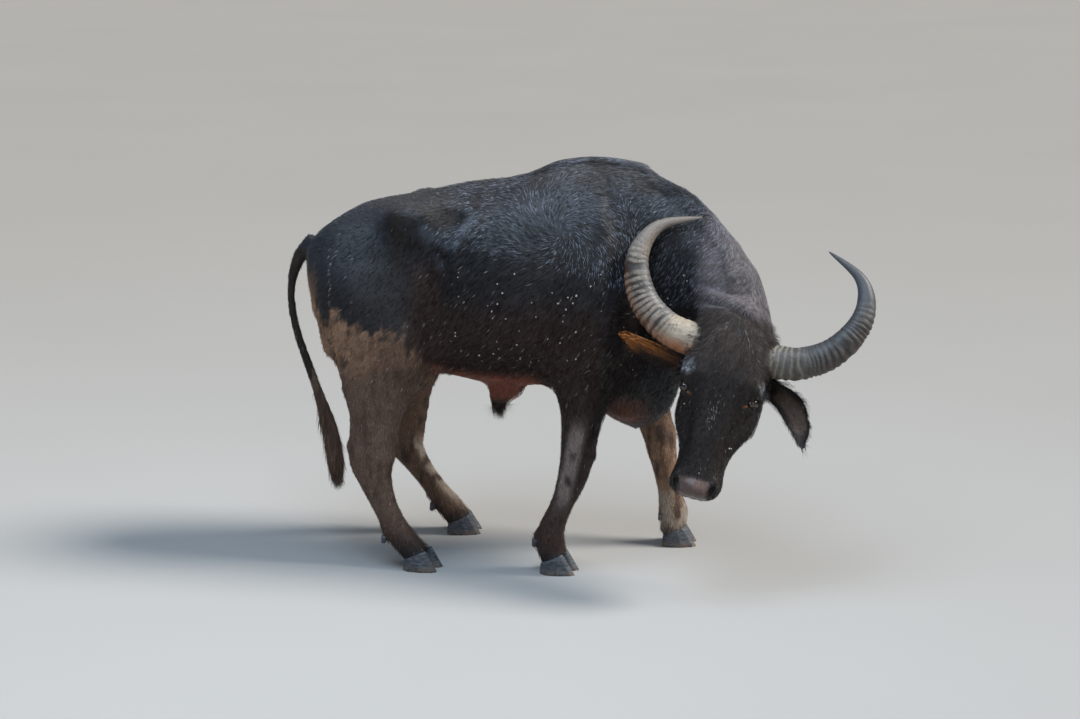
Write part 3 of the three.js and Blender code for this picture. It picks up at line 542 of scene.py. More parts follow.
def almond(u, v):
    high = lids["halfHigh"] * np.where(v > 0, 1.0, 0.82)
    return np.sqrt((u / lids["halfLong"]) ** 2 + (v / high) ** 2)


def shapeLids(skin):
    points = pointsOf(skin)
    head = toHead(points)
    for eye in eyes.values():
        u, v, w = eyeLocal(head, eye)
        size = eyePlace["radius"]
        ring = almond(u, v)
        ball = np.sqrt(np.clip(size ** 2 - u ** 2 - v ** 2, 25, None))
        near = (np.abs(w) < 60) & (np.hypot(u, v) < 60)
        opened = ball - lids["behind"]
        rim = ball + lids["rim"] + 2.2 * ramp(v, -2, 10)
        lidCurve = rim + 1.6 * np.cos(np.clip((ring - 1.25) / 0.5, -1, 1) * np.pi)
        target = np.where(ring < 0.98, opened, lidCurve)
        mix = np.where(ring < 0.98, 1, 1 - ramp(ring, 1.25, lids["reach"])) * near
        head = head + np.outer((target - w) * mix, eye["ahead"])
        for height, radius, push in lids["folds"]:
            arc = np.abs(v - height + 0.018 * u * u * np.sign(height)) / radius
            fold = push * np.clip(1 - arc ** 2, 0, 1) * (np.abs(u) < 30) * near
            head = head + np.outer(fold, eye["ahead"])
    setPoints(skin, fromHead(head))


shapeLids(skin)


# nostrils: comma-shaped pits, in the head's frame
nostrilPit = {"comma": [(604, 44, -78), (590, 60, -70), (572, 70, -66)], "radius": 0.0115, "height": -0.013}


def openNostrils(skin):
    tree = treeOf(skin)
    points, normals = pointsOf(skin), normalsOf(skin)
    for sign in (-1, 1):
        comma = [headPoint(along, sign * side, out) for along, side, out in nostrilPit["comma"]]
        onSkin = [tree.find_nearest(Vector(p))[0] for p in comma]
        points = stroke(points, onSkin, nostrilPit["radius"], nostrilPit["height"], normals)
    setPoints(skin, points)


openNostrils(skin)
points = pointsOf(skin)
head = toHead(points)
face = ramp(head[:, 0], headZone["start"], 0) * 0.6 * (1 - earMask(head, "left"))
points = relax(points, edgesOf(skin), face, *relaxing["lids"])
setPoints(skin, points)
smooth(skin)
print("skin sculpted", len(points), "points")

# an unwrap of the skin's own shape, where each tuft finds its place
with editing(skin):
    bpy.ops.uv.smart_project(angle_limit=math.radians(66), island_margin=0.001)
print("skin unwrapped")


# even noise between 0 and 1, the same each run
def grain(points, size, seed=0):
    cell = points / size + seed * 17.3
    low = np.floor(cell).astype(np.int64)
    part = cell - low
    part = part * part * (3 - 2 * part)
    total = np.zeros(len(points))
    for corner in range(8):
        step = np.array([corner & 1, corner >> 1 & 1, corner >> 2 & 1])
        x, y, z = (low + step).T
        bits = (x * 374761393 + y * 668265263 + z * 2147483647 + seed * 974711) & 0x7FFFFFFF
        bits = (bits ^ bits >> 13) * 1274126177 & 0x7FFFFFFF
        share = np.prod(np.where(step, part, 1 - part), axis=1)
        total += (bits ^ bits >> 16) % 65536 / 65535 * share
    return total


# the animal's markings with painted reflections, sunlight, highlights and shade among them, the same for
# skin and coat
tones = {
    "black": (0.0075, 0.0082, 0.0105), "slate": (0.030, 0.034, 0.043), "redBrown": (0.022, 0.0075, 0.0045),
    "belly": (0.27, 0.082, 0.045), "mud": (0.225, 0.128, 0.076), "brown": (0.082, 0.048, 0.033),
    "tan": (0.34, 0.205, 0.125), "pale": (0.42, 0.35, 0.28), "greyPink": (0.235, 0.185, 0.168),
    "face": (0.0098, 0.0058, 0.0048), "forehead": (0.080, 0.064, 0.056), "nape": (0.150, 0.134, 0.140),
    "pad": (0.115, 0.070, 0.058), "earGold": (0.40, 0.145, 0.034), "earBrown": (0.050, 0.026, 0.018),
    "tear": (0.34, 0.115, 0.030), "tail": (0.020, 0.0125, 0.009), "socket": (0.007, 0.0045, 0.004),
    "dust": (0.074, 0.065, 0.061), "sheen": (0.078, 0.092, 0.116), "lit": (0.34, 0.355, 0.38),
    "brisket": (0.150, 0.045, 0.017), "soot": (0.0030, 0.0030, 0.0036), "shin": (0.140, 0.090, 0.064),
}
# the dried mud's upper edge: x and z in mm
mudEdge = [(-860, 1050), (-735, 958), (-683, 884), (-581, 890), (-538, 862), (-424, 846), (-350, 800),
           (-300, 690)]


def mixed(first, second, amount):
    amount = np.clip(amount, 0, 1)[:, None]
    return np.asarray(first) * (1 - amount) + np.asarray(second) * amount


# routes of marks on the flank, in mm: the V of painted highlight and the line of painted shade by the hook
# bone, the fold, the scratches
veeSheenArms = [
    [(-335, -242, 1214), (-275, -239, 1177), (-225, -244, 1159), (-197, -228, 1206), (-165, -196, 1252)],
    [(-330, -242, 1208), (-306, -250, 1142), (-275, -258, 1090)],
]
hookShadeRoute = [(-434, -215, 1262), (-420, -237, 1191), (-404, -240, 1104)]
flankFold = [(-430, -214, 640), (-372, -216, 712), (-322, -214, 730), (-250, -190, 690)]
scratches = [
    [(-654, -280, 949), (-655, -270, 997), (-663, -248, 1063), (-655, -234, 1103), (-635, -224, 1133)],
    [(-676, -222, 1112), (-640, -224, 1138)],
    [(-560, -262, 905), (-530, -262, 930)],
]
# the hollow before the hook bone, as ovals: middle x and z, and half sizes; the dark one is painted shade
hollowSpots = {"dark": (-268, 1250, 76, 30), "dull": (-275, 1250, 90, 50), "bare": (-256, 1250, 62, 30)}


def oval(first, second, spot):
    # 1 on the oval's edge, less inside it
    return np.hypot((first - spot[0]) / spot[2], (second - spot[1]) / spot[3])


def oneSided(points):
    # both flanks read as the near one
    body = toBody(points)
    body[:, 1] = -np.abs(body[:, 1])
    return body


def markTrunk(lay, points, normals, look):
    x, y, z = toBody(points).T
    near = oneSided(points)
    # painted reflection of the sky: lighter blue-grey on the upward-facing top of the back and on the upper
    # rump
    lay("slate", ramp(z + normals[:, 2] * 90, 1160, 1380) * (0.4 + 0.4 * look["broad"]))
    lay("slate", ramp(-x, 430, 640) * ramp(z, 960, 1090) * 0.7)
    lay("redBrown", ramp(1060 - z, 0, 200) * ramp(430 - np.abs(x + 20), 0, 160) * 0.9)
    lay("redBrown", ramp(90 - np.abs(x + 320), 0, 60) * ramp(1150 - z, 0, 100) * 0.8)
    # painted shade: a dark line down the shaded side of the hook bone
    hook = 1 - ramp(reachOf(near, hookShadeRoute)[0], 20, 62)
    lay("face", hook * 0.75)
    # painted shade: near-black in the hollow before the hook bone
    lay("soot", (1 - ramp(oval(x, z, hollowSpots["dark"]), 0.6, 1.3)) * (np.abs(y) > 90) * 0.95)
    # painted highlight: blue-white sheen along the arms of the V below the hollow
    for arm in veeSheenArms:
        lay("sheen", (1 - ramp(reachOf(near, arm)[0], 6, 30)) * (0.35 + 0.5 * look["rough"]))
    # paler grey-brown on the upward-facing top of the back
    top = ramp(normals[:, 2], 0.5, 0.92) * ramp(z, 1230, 1300) * (x < 480)
    lay("dust", top * (0.35 + 0.35 * look["broad"]))
    under = ramp(-normals[:, 2], 0.5, 0.9) * ramp(730 - z, 0, 50) * ramp(z, 560, 600) * ramp(-x, -140, 0)
    lay("belly", under * ramp(x, -440, -330) * (0.5 + 0.45 * look["rough"]))
    fold = 1 - ramp(reachOf(near, flankFold)[0] + 22 * (look["rough"] - 0.5), 5, 30)
    lay("belly", fold * 0.75)
    sheath = (np.abs(x + 112) < 80) & (np.abs(y) < 75) & (z < 650)
    lay("belly", sheath * ramp(z, 560, 590) * 0.8)
    lay("tail", sheath * (1 - ramp(z, 550, 580)))
    dewlap = ramp(x, 280, 320) * ramp(470 - x + 60 * (look["rough"] - 0.5), 0, 110) * ramp(650 - z, 0, 90)
    dewlap = dewlap * (1 - ramp(-y, 190, 230)) * ramp(z, 505, 525)
    lay("brisket", dewlap * (0.5 + 0.4 * look["rough"]))
    # painted sunlight: the top of the neck behind the poll is pale grey
    nape = ramp(x - 0.12 * np.abs(z - 1080), 585, 655) * ramp(z, 880, 950)
    lay("nape", nape * (0.72 + 0.28 * look["rough"]))


def markHindquarters(lay, points, normals, look):
    x, y, z = toBody(points).T
    rough, streak, broad, notTail = look["rough"], look["streak"], look["broad"], 1 - look["tail"]
    edge = np.interp(x, *zip(*mudEdge)) + (rough - 0.5) * 120 + (streak - 0.5) * 60
    mud = ramp(edge - z, -25, 25) * ramp(-x, 290, 350) * (z > 470) * notTail
    lay("brown", mud * 0.95)
    rear = ramp(-x, 420, 640) * ramp(z, 560, 660)
    lay("mud", mud * (0.35 + 0.65 * rear) * ramp(rough + streak, 0.5, 1.1))
    lay("tan", mud * rear * ramp(rough + streak + broad, 1.4, 1.9) * 0.75)
    buttock = ramp(-x, 700, 760) * ramp(1080 - z, 0, 90) * ramp(z, 560, 700) * notTail
    lay("mud", buttock * (0.5 + 0.4 * rough))


def markLegs(lay, points, normals, look):
    x, y, z = toBody(points).T
    rough, streak = look["rough"], look["streak"]
    limb = 1 - ramp(z, 640, 760)
    low = limb * (x < -250)
    lay("brown", low * 0.85)
    lay("shin", low * ramp(z, 110, 220) * ramp(streak + rough, 0.5, 1.2) * 0.85)
    lay("black", low * ramp(150 - z, 0, 80) * 0.6)
    farHind = limb * (x < -200) * (y > 100)
    lay("mud", farHind * ramp(streak + rough, 0.6, 1.2) * 0.6)
    # painted highlight: pale down the forward-facing front of the far hind leg below the hock
    front = ramp(normals[:, 0], 0.25, 0.75) * ramp(rough + streak, 0.6, 1.1)
    lay("pale", farHind * ramp(390 - z, 0, 70) * ramp(z, 95, 150) * front * 0.85)
    farFore = limb * (x > 250) * (y > 60)
    lay("brown", farFore * 0.95)
    lay("tan", farFore * ramp(440 - z, -140, 120) * ramp(rough + streak, 0.5, 1.1) * 0.8)
    lay("pale", farFore * ramp(240 - z, 0, 80) * ramp(rough + streak, 0.7, 1.1) * 0.85)
    nearFore = limb * (x > 40) * (x < 330) * (y < -60)
    middle = np.interp(z, [150, 270, 420, 560, 640], [118, 152, 186, 214, 226])
    patch = nearFore * ramp(-y, 200, 245) * ramp(z, 190, 290) * ramp(600 - z, 0, 110)
    patch = patch * (1 - ramp(np.abs(x - middle), 12, 40)) * ramp(rough + streak, 0.35, 0.95)
    lay("greyPink", patch * 0.9)
    lay("brown", nearFore * ramp(320 - z, 0, 120) * (1 - patch) * 0.45)
    lay("black", limb * ramp(100 - z, 0, 40) * 0.7)


aboveEyes = {"right": (200, -122, 40, 32), "left": (214, 140, 30, 14)}


def markHead(lay, points, normals, look):
    head = toHead(points)
    along, side, out = head.T
    rough, onHead = look["rough"], look["head"]
    lay("face", onHead)
    crown = onHead * ramp(250 - along, 0, 120) * ramp(out, -120, -40) * ramp(150 - np.abs(side), 0, 30)
    lay("forehead", crown * (0.45 + 0.6 * rough))
    patch = 1 - ramp(oval(along, side, aboveEyes["right"]) + 0.5 * (look["streak"] - 0.5), 0.35, 1.1)
    patch = np.maximum(patch, 0.7 * (1 - ramp(oval(along, side, aboveEyes["left"]), 0.4, 1.2)))
    hairs = ramp(grain(points, 0.006, 14), 0.35, 0.75)
    lay("lit", onHead * patch * (0.12 + 0.85 * hairs))
    for eye in eyes.values():
        u, v, w = eyeLocal(head, eye)
        close = onHead * (np.abs(w) < 60)
        lay("socket", close * (1 - ramp(almond(u, v), 1.3, 2.2)) * 0.9)
        lash = np.hypot(u / 22, (v - 21) / 5)
        lay("forehead", close * (1 - ramp(lash, 0.6, 1.2)) * 0.9)
        tear = np.hypot((u - 36) / 13, (v + 3 - 0.02 * (u - 36) ** 2) / 4.6)
        lay("tear", close * (1 - ramp(tear, 0.35, 1.3)) * 0.8)
    lay("pad", padMask(points) * (0.75 + 0.25 * rough))
    for name in earShape:
        t, wide, *_, opening = earPlaces(head, name)
        ear = earMask(head, name)
        across = wide / np.maximum(earHalf(t), 1)
        lay("earBrown", ear * (0.6 + 0.3 * rough))
        if name == "right":
            # the ear's gold hair is painted only on its upper edge and tip, where the light falls; its lower
            # half is painted shadow
            goldInLight = ramp(-across, -0.6, 0.4) * (0.35 + 0.65 * ramp(t, 0.25, 0.7)) + 0.9 * ramp(t, 0.62, 0.85)
            lay("earGold", ear * np.clip(goldInLight, 0, 1) * (0.65 + 0.4 * rough))
            lay("face", ear * ramp(across, 0.2, 0.8) * (1 - ramp(t, 0.6, 0.8)) * 0.7)
        else:
            facing = normals @ headAxes @ opening
            inside = ramp(facing, -0.2, 0.5) * (1 - ramp(np.abs(across), 0.45, 0.75))
            lay("black", ear * 0.85)
            lay("shin", ear * (inside * (1 - ramp(t, 0.72, 0.9))) * (0.5 + 0.5 * rough))


def besideHead(points):
    # the near and front part of the space in which the head is
    along, side, out = toHead(points).T
    return (toBody(points)[:, 1] < headZone["near"]) & (np.abs(side) < headZone["side"]) & (out > -360)


def markingsAndLight(points, normals):
    x, y, z = toBody(points).T
    colour = np.tile(tones["black"], (len(points), 1))
    look = {
        "rough": grain(points, 0.045, 1) * 0.55 + grain(points, 0.018, 2) * 0.45,
        "broad": grain(points, 0.16, 3),
        "streak": grain(points * np.array([1, 1, 0.22]), 0.016, 4),
        "head": ramp(toHead(points)[:, 0], -30, 25) * besideHead(points),
        "tail": (x < -790) & (np.abs(y) < 60) & (z < 1090),
    }

    def lay(tone, amount):
        nonlocal colour
        colour = mixed(colour, tones[tone], amount)

    for mark in (markTrunk, markHindquarters, markLegs, markHead):
        mark(lay, points, normals, look)
    lay("tail", look["tail"])
    return colour * (0.86 + 0.28 * grain(points, 0.008, 5))[:, None]


def padMask(points):
    along, side, out = toHead(points).T
    return ramp(along, 558, 572) * ramp(out, -140, -124) * (1 - ramp(np.abs(side), 42, 58))


def addAttribute(obj, name, values, kind="FLOAT"):
    layer = obj.data.attributes.new(name, kind, "POINT")
    if kind == "FLOAT_COLOR":
        full = np.concatenate([values, np.ones((len(values), 1))], 1)
        layer.data.foreach_set("color", full.astype(np.float32).ravel())
    else:
        layer.data.foreach_set("value", np.asarray(values, dtype=np.float32))


# shader maths
class Value:
    def __init__(self, tree, socket):
        self.tree, self.socket = tree, socket

    def maths(self, operation, first, second=None):
        return self.tree.node("ShaderNodeMath", {"operation": operation}, [first, second])

    def __add__(self, other):
        return self.maths("ADD", self, other)

    def __sub__(self, other):
        return self.maths("SUBTRACT", self, other)

    def __mul__(self, other):
        return self.maths("MULTIPLY", self, other)

    def __rsub__(self, other):
        return self.maths("SUBTRACT", other, self)

    __radd__ = __add__
    __rmul__ = __mul__


class Finish:
    def __init__(self, name):
        self.material = bpy.data.materials.new(name)
        self.material.use_nodes = True
        self.nodes = self.material.node_tree.nodes
        self.links = self.material.node_tree.links
        self.surface = self.nodes["Principled BSDF"]
        self.position = self.node("ShaderNodeTexCoord", {}, {}, "Object")

    def put(self, socket, value):
        if isinstance(value, Value):
            self.links.new(value.socket, socket)
        elif value is not None:
            socket.default_value = value

    def node(self, kind, settings, inputs, output=0):
        made = self.nodes.new(kind)
        for key, value in settings.items():
            setattr(made, key, value)
        pairs = enumerate(inputs) if isinstance(inputs, list) else inputs.items()
        for key, value in pairs:
            self.put(made.inputs[key], value)
        return Value(self, made.outputs[output])

    def attribute(self, name, output="Fac"):
        return self.node("ShaderNodeAttribute", {"attribute_name": name}, {}, output)

    def mapped(self, stretch, turn=(0, 0, 0), place=None):
        place = place or self.position
        return self.node("ShaderNodeMapping", {}, {"Vector": place, "Rotation": turn, "Scale": stretch})

    def noise(self, scale, stretch=(1, 1, 1), turn=(0, 0, 0), detail=3.0, roughness=0.55, place=None):
        spot = self.mapped(stretch, turn, place)
        inputs = {"Vector": spot, "Scale": scale, "Detail": detail, "Roughness": roughness}
        return self.node("ShaderNodeTexNoise", {}, inputs, "Fac")

    def cells(self, scale, place):
        settings, inputs = {"feature": "DISTANCE_TO_EDGE"}, {"Vector": place, "Scale": scale}
        return self.node("ShaderNodeTexVoronoi", settings, inputs, "Distance")

    def range(self, value, low, high, newLow=0.0, newHigh=1.0):
        inputs = {"Value": value, "From Min": low, "From Max": high, "To Min": newLow, "To Max": newHigh}
        return self.node("ShaderNodeMapRange", {"interpolation_type": "SMOOTHSTEP"}, inputs)

    def mix(self, factor, first, second, mode="MIX"):
        made = self.nodes.new("ShaderNodeMix")
        made.data_type = "RGBA"
        made.blend_type = mode
        for socket, value in zip((made.inputs[0], made.inputs[6], made.inputs[7]), (factor, first, second)):
            self.put(socket, (*value, 1) if isinstance(value, tuple) else value)
        return Value(self, made.outputs[2])

    def bump(self, height, strength, distance, normal=None):
        inputs = {"Height": height, "Strength": strength, "Distance": distance, "Normal": normal}
        return self.node("ShaderNodeBump", {}, inputs)

    def finish(self, **values):
        names = {"colour": "Base Color", "roughness": "Roughness", "normal": "Normal", "ior": "IOR",
                 "coat": "Coat Weight", "coatRoughness": "Coat Roughness", "specular": "Specular IOR Level"}
        for key, value in values.items():
            self.put(self.surface.inputs[names[key]], value)
        return self.material


def hideMaterial():
    look = Finish("hide")
    marking = look.attribute("marking", "Color")
    pad = look.attribute("pad")
    slant = (0, math.radians(-34), 0)
    lieDown = look.noise(380, (1, 1, 0.13), slant, 2.0)
    lieLimb = look.noise(400, (1, 1, 0.12), detail=2.0)
    limb = look.attribute("limb")
    hairs = lieDown * (1 - limb) + lieLimb * limb
    fineHairs = look.noise(620, (1, 1, 0.2), slant, 1.0)
    pebble = look.cells(330.0, look.position)
    wrinkle = look.noise(38, (1, 1, 0.6), detail=4.0)
    height = (hairs * 0.75 + fineHairs * 0.25) * (1 - pad) + look.range(pebble, 0.0, 0.25) * pad
    lighter = look.mix(look.range(hairs, 0.52, 0.78), (0.7, 0.7, 0.72), (1.6, 1.62, 1.7))
    colour = look.mix(1.0, marking, lighter, "MULTIPLY")
    onFur, onPad = look.range(hairs, 0.3, 0.75, 0.50, 0.34), look.range(wrinkle, 0.3, 0.7, 0.22, 0.36)
    roughness = onFur * (1 - pad) + onPad * pad
    skinBump = look.bump(wrinkle, 0.35, 0.006)
    normal = look.bump(height, 0.45, 0.0018, skinBump)
    return look.finish(colour=colour, roughness=roughness + look.attribute("dull") * 0.3, normal=normal,
                       specular=0.4, coat=pad * 0.35, coatRoughness=0.2)


def coatMaterial(name, specular):
    look = Finish(name)
    marking = look.attribute("marking", "Color")
    strand = look.noise(900, (1, 1, 0.3), detail=1.0)
    lighter = look.mix(1.0, marking, (1.5, 1.5, 1.55), "MULTIPLY")
    colour = look.mix(look.range(strand, 0.35, 0.7), marking, lighter)
    roughness = look.range(strand, 0.3, 0.7, 0.26, 0.40) + look.attribute("dull") * 0.32
    return look.finish(colour=colour, roughness=roughness, specular=specular)


def dress(obj, material):
    obj.data.materials.clear()
    obj.data.materials.append(material)


def mount(piece, slot, *stoodFor):
    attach(piece, "root")
    if stoodFor:
        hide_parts(*stoodFor)


def dullness(points):
    # dried mud and the far legs have no gloss, and the face has little
    x, y, z = toBody(points).T
    dusty = ramp(np.interp(x, *zip(*mudEdge)) - z, -40, 60) * ramp(-x, 290, 360)
    farLegs = (1 - ramp(z, 560, 660)) * (y > 60)
    face = ramp(toHead(points)[:, 0], -30, 30) * (y < -150) * 0.5
    nape = ramp(x, 560, 660) * ramp(z, 880, 950) * 0.75
    hollow = 1 - ramp(oval(x, z, hollowSpots["dull"]), 0.7, 1.3)
    hook = (1 - ramp(reachOf(oneSided(points), hookShadeRoute)[0], 30, 80)) * 0.5
    return np.clip(dusty + farLegs + np.maximum(face, nape) + np.maximum(hollow, hook), 0, 1)


hide = hideMaterial()
coatFinish = coatMaterial("coat", 0.55)
faceFinish = coatMaterial("face coat", 0.28)
skinPoints, skinNormals = pointsOf(skin), normalsOf(skin)
skinBody = toBody(skinPoints)
# the colour holds the markings together with painted light and shade
addAttribute(skin, "marking", markingsAndLight(skinPoints, skinNormals), "FLOAT_COLOR")
addAttribute(skin, "dull", dullness(skinPoints))
addAttribute(skin, "pad", padMask(skinPoints))
addAttribute(skin, "limb", 1 - ramp(skinBody[:, 2], 600, 760))
dress(skin, hide)
print("skin painted")


# which way the coat lies, and how long it is
whorl = {"x": 142, "z": 1217, "inner": 90, "reach": 330}


def hornFringe(head):
    # the hair that lies out over the horns' bases
    along, side, out = head.T
    return ramp(np.abs(side), 80, 110) * (1 - ramp(np.hypot(along - 104, out + 60), 78, 104))


def columns(*values):
    return np.stack(np.broadcast_arrays(*values), 1)


def lieOfCoat(points, normals):
    x, y, z = toBody(points).T
    head = toHead(points)
    along, side, out = head.T
    sideSign = np.where(y > 0, 1.0, -1.0)
    flow = mixed((-0.62, 0, -0.78), columns(-1.0, sideSign * 0.35, -0.1), ramp(z, 1240, 1380))
    dx, dz = x - whorl["x"], z - whorl["z"]
    reach = np.hypot(dx, dz) + 1e-6
    swirl = ((1 - ramp(reach, whorl["inner"], whorl["reach"])) * (np.abs(y) > 90))[:, None]
    fan = columns((dx * 0.8 + dz * 0.6) / reach, 0, (dz * 0.8 - dx * 0.6) / reach)
    flow = flow * (1 - swirl) + fan * (swirl * 1.6)
    flow = mixed(flow, columns(-0.55, sideSign * 0.1, -0.85), ramp(x, 380, 520) * ramp(z, 620, 700))
    flow = mixed(flow, (0.1, 0, -1), 1 - ramp(z, 560, 720))
    sheath = (np.abs(x + 118) < 60) & (np.abs(y) < 50) & (z < 560)
    flow = np.where(sheath[:, None], columns((-104 - x) / 60, -y / 60, -1.0), flow)
    faceFlow = columns(1.0, np.clip(side / 90, -1, 1) * 0.45, -0.2)
    faceFlow = mixed(faceFlow, columns(0.7, side / 90, 0.3), ramp(150 - along, 0, 120))
    faceFlow = mixed(faceFlow, columns(0.25, np.sign(side), 0.15), hornFringe(head))
    isHead = (along > -20) & besideHead(points)
    flow = np.where(isHead[:, None], faceFlow @ headAxes.T, flow)
    for name in earShape:
        ear = earMask(head, name) > 0.1
        flow = np.where(ear[:, None], headAxes @ unit(earShape[name]["aim"]), flow)
    tail = (x < -790) & (np.abs(y) < 60)
    flow = np.where(tail[:, None], np.array([0.15, 0, -1.0]), flow)
    flow = flow + rng.normal(0, 0.13, flow.shape)
    flow = flow - normals * np.sum(flow * normals, 1)[:, None]
    return unit(flow + 1e-6)


# the top line of the turned neck: x and y in mm
neckRidge = [(430, -28), (596, -92), (706, -172), (752, -268)]
tailEnd = skinBody[skinBody[:, 0] < -690][:, 2].min()


def coatSize(points, normals):
    # length, width and rise of a tuft in mm, and how thickly tufts stand
    x, y, z = toBody(points).T
    head = toHead(points)
    along, side, out = head.T
    isHead = (along > -40) & besideHead(points)
    limb = 1 - ramp(z, 480, 680)
    length = 27.0 * (1 - limb) + 14 * limb
    width = 1.5 * (1 - limb) + 1.1 * limb
    ridge = np.where(x < neckRidge[0][0], 0, np.interp(x, *zip(*neckRidge)))
    mane = ramp(52 - np.abs(y - ridge), 0, 40) * ramp(x, -100, 150) * ramp(normals[:, 2], 0.2, 0.6)
    mane = mane * (z > 1050)
    length, rise = length + 24 * mane, 2.0 + (8 - 6 * ramp(x, 400, 500)) * mane
    hind = ramp(-x, 300, 420) * ramp(z, 480, 600)
    length = length * (1 - 0.3 * hind)
    thick = (1.0 + 2.0 * mane) * (1 - 0.45 * hind)
    belly = ramp(-normals[:, 2], 0.2, 0.7) * ramp(780 - z, 0, 80) * (z > 560)
    length, rise = length + 8 * belly, rise + 5 * belly
    sheathTip = (np.abs(x + 118) < 55) & (np.abs(y) < 45) & (z < 566)
    length, rise = np.where(sheathTip, 66, length), np.where(sheathTip, 1, rise)
    thick = np.where(sheathTip, 6, thick)
    fetlock = 1 - ramp(z, 120, 170)
    length, rise = length + 8 * fetlock, rise + 2 * fetlock
    length, width = np.where(isHead, 13, length), np.where(isHead, 0.95, width)
    crown = isHead * ramp(230 - along, 0, 130) * ramp(out, -140, -60)
    length, rise = length + 15 * crown, rise + 5 * crown
    fringe = isHead * hornFringe(head)
    behind = isHead * (1 - ramp(np.hypot(along - 176, out + 118), 34, 60)) * ramp(np.abs(side), 84, 104)
    length, rise = length + 16 * fringe + 22 * behind, rise + 3 * fringe + 9 * behind
    thick = thick + 2.5 * behind
    thick = np.where(isHead, np.maximum(2.2, thick), thick)
    jaw = isHead * ramp(-out, 150, 200)
    length, rise = length + 12 * jaw, rise + 3 * jaw
    for name in earShape:
        ear = earMask(head, name)
        t, wide, *_ = earPlaces(head, name)
        rim = ear * ramp(np.abs(wide) / np.maximum(earHalf(t), 1), 0.7, 1.0)
        tip = ramp(t, 0.86, 1.0) * earShape[name]["tassel"]
        length = np.where(ear > 0.1, 12 + 14 * rim + tip, length)
        thick = np.where(ear > 0.1, 2 + 2.5 * rim, thick)
    tail = (x < -690) & (np.abs(y) < 60) & (z < 1040)
    switch = tail * ramp(620 - z, 0, 120)
    length = np.where(tail, np.minimum(22 + 72 * switch, z - tailEnd + 46), length)
    width, rise = np.where(tail, 1.4 + 0.5 * switch, width), np.where(tail, 1.5 + 3 * switch, rise)
    thick = np.where(tail, 1.5 + 5 * switch, thick)
    bare = (padMask(points) > 0.3) | (z < 58)
    for eye in eyes.values():
        u, v, w = eyeLocal(head, eye)
        bare |= (almond(u, v) < 1.5) & (np.abs(w) < 60) & isHead
    for nostril in nostrils:
        bare |= np.linalg.norm(head - nostril, axis=1) < 17
    return length, width, rise, np.where(bare, 0, thick)


coats = {
    "sections": 2,
    "tufts": 122000,
    "perPiece": 18500,
    "patch": 0.0015,
    "glint": (0.20, 0.24, 0.30),
    "faceGlint": (0.42, 0.40, 0.40),
    "scratch": (0.40, 0.35, 0.31),
    "scratchWidth": 5,
    "bridge": (362, 2, 52, 15),  # ovals on the face, as in hollowSpots
    "brow": (300, 14, 40, 24),
}


def tuftMesh(name, tufts, material):
    # closed three-sided tufts: rings of three points, thinner towards one tip
    roots, ups, ways = (tufts[key] for key in ("roots", "ups", "ways"))
    lengths, widths, rises = (tufts[key] / 1000 for key in ("length", "width", "rise"))
    sections = coats["sections"]
    n = len(roots)
    sides = np.cross(ups, ways)
    steps = np.linspace(0, 1, sections + 1)
    rings = []
    for step in steps[:-1]:
        lift = rises * (step * (1.25 - step)) * 3.2 - (0.0015 if step == 0 else 0)
        spine = roots + ways * (lengths * step)[:, None] + ups * lift[:, None]
        half = (widths * (1 - 0.62 * step ** 1.5) / 2)[:, None]
        rings += [spine - sides * half, spine + sides * half, spine + ups * half * 0.9]
    tips = roots + ways * lengths[:, None] + ups * (rises * 0.8)[:, None]
    perTuft = 3 * sections + 1
    points = np.stack(rings + [tips], 1).reshape(-1, 3)
    pattern = [(0, 2, 1)]
    for ring in range(sections - 1):
        for k in range(3):
            a, b = ring * 3 + k, ring * 3 + (k + 1) % 3
            pattern += [(a, b, b + 3), (a, b + 3, a + 3)]
    last = (sections - 1) * 3
    pattern += [(last + k, last + (k + 1) % 3, perTuft - 1) for k in range(3)]
    faces = (np.array(pattern)[None] + (np.arange(n) * perTuft)[:, None, None]).reshape(-1, 3)
    mesh = bpy.data.meshes.new(name)
    mesh.vertices.add(len(points))
    mesh.vertices.foreach_set("co", points.astype(np.float32).ravel())
    mesh.loops.add(faces.size)
    mesh.loops.foreach_set("vertex_index", faces.astype(np.int32).ravel())
    mesh.polygons.add(len(faces))
    mesh.polygons.foreach_set("loop_start", np.arange(0, faces.size, 3, dtype=np.int32))
    mesh.update(calc_edges=True)
    made = bpy.data.objects.new(name, mesh)
    bpy.context.collection.objects.link(made)
    heights = np.append(np.repeat(steps[:-1], 3), 1)
    corner = np.stack([np.append(np.tile([-1, 1, 0], sections), 0), heights * 2 - 1], 1)
    spots = tufts["places"][:, None, :] + corner[None] * coats["patch"]
    layer = mesh.uv_layers.new(name="OFBake")
    layer.data.foreach_set("uv", spots.reshape(-1, 2)[faces.ravel()].astype(np.float32).ravel())
    shade = np.repeat(tufts["colour"], perTuft, axis=0) * np.tile(0.8 + 0.5 * heights, n)[:, None]
    addAttribute(made, "marking", shade, "FLOAT_COLOR")
    addAttribute(made, "dull", np.repeat(tufts["dull"], perTuft))
    mesh.polygons.foreach_set("use_smooth", np.ones(len(faces), dtype=bool))
    mesh.validate()
    dress(made, material)
    mount(made, "hide")
    return made


def skinTable():
    mesh = skin.data
    mesh.calc_loop_triangles()
    loops = fetch(mesh.loop_triangles, "loops", 3, np.int64)
    uvs = fetch(mesh.uv_layers.active.data, "uv", 2)
    return fetch(mesh.loop_triangles, "vertices", 3, np.int64), uvs[loops]


triangles, triangleUvs = skinTable()
corners = skinPoints[triangles]
areas = np.linalg.norm(np.cross(corners[:, 1] - corners[:, 0], corners[:, 2] - corners[:, 0]), axis=1) / 2
middles = corners.mean(axis=1)
faceNormals = unit(skinNormals[triangles].mean(axis=1))


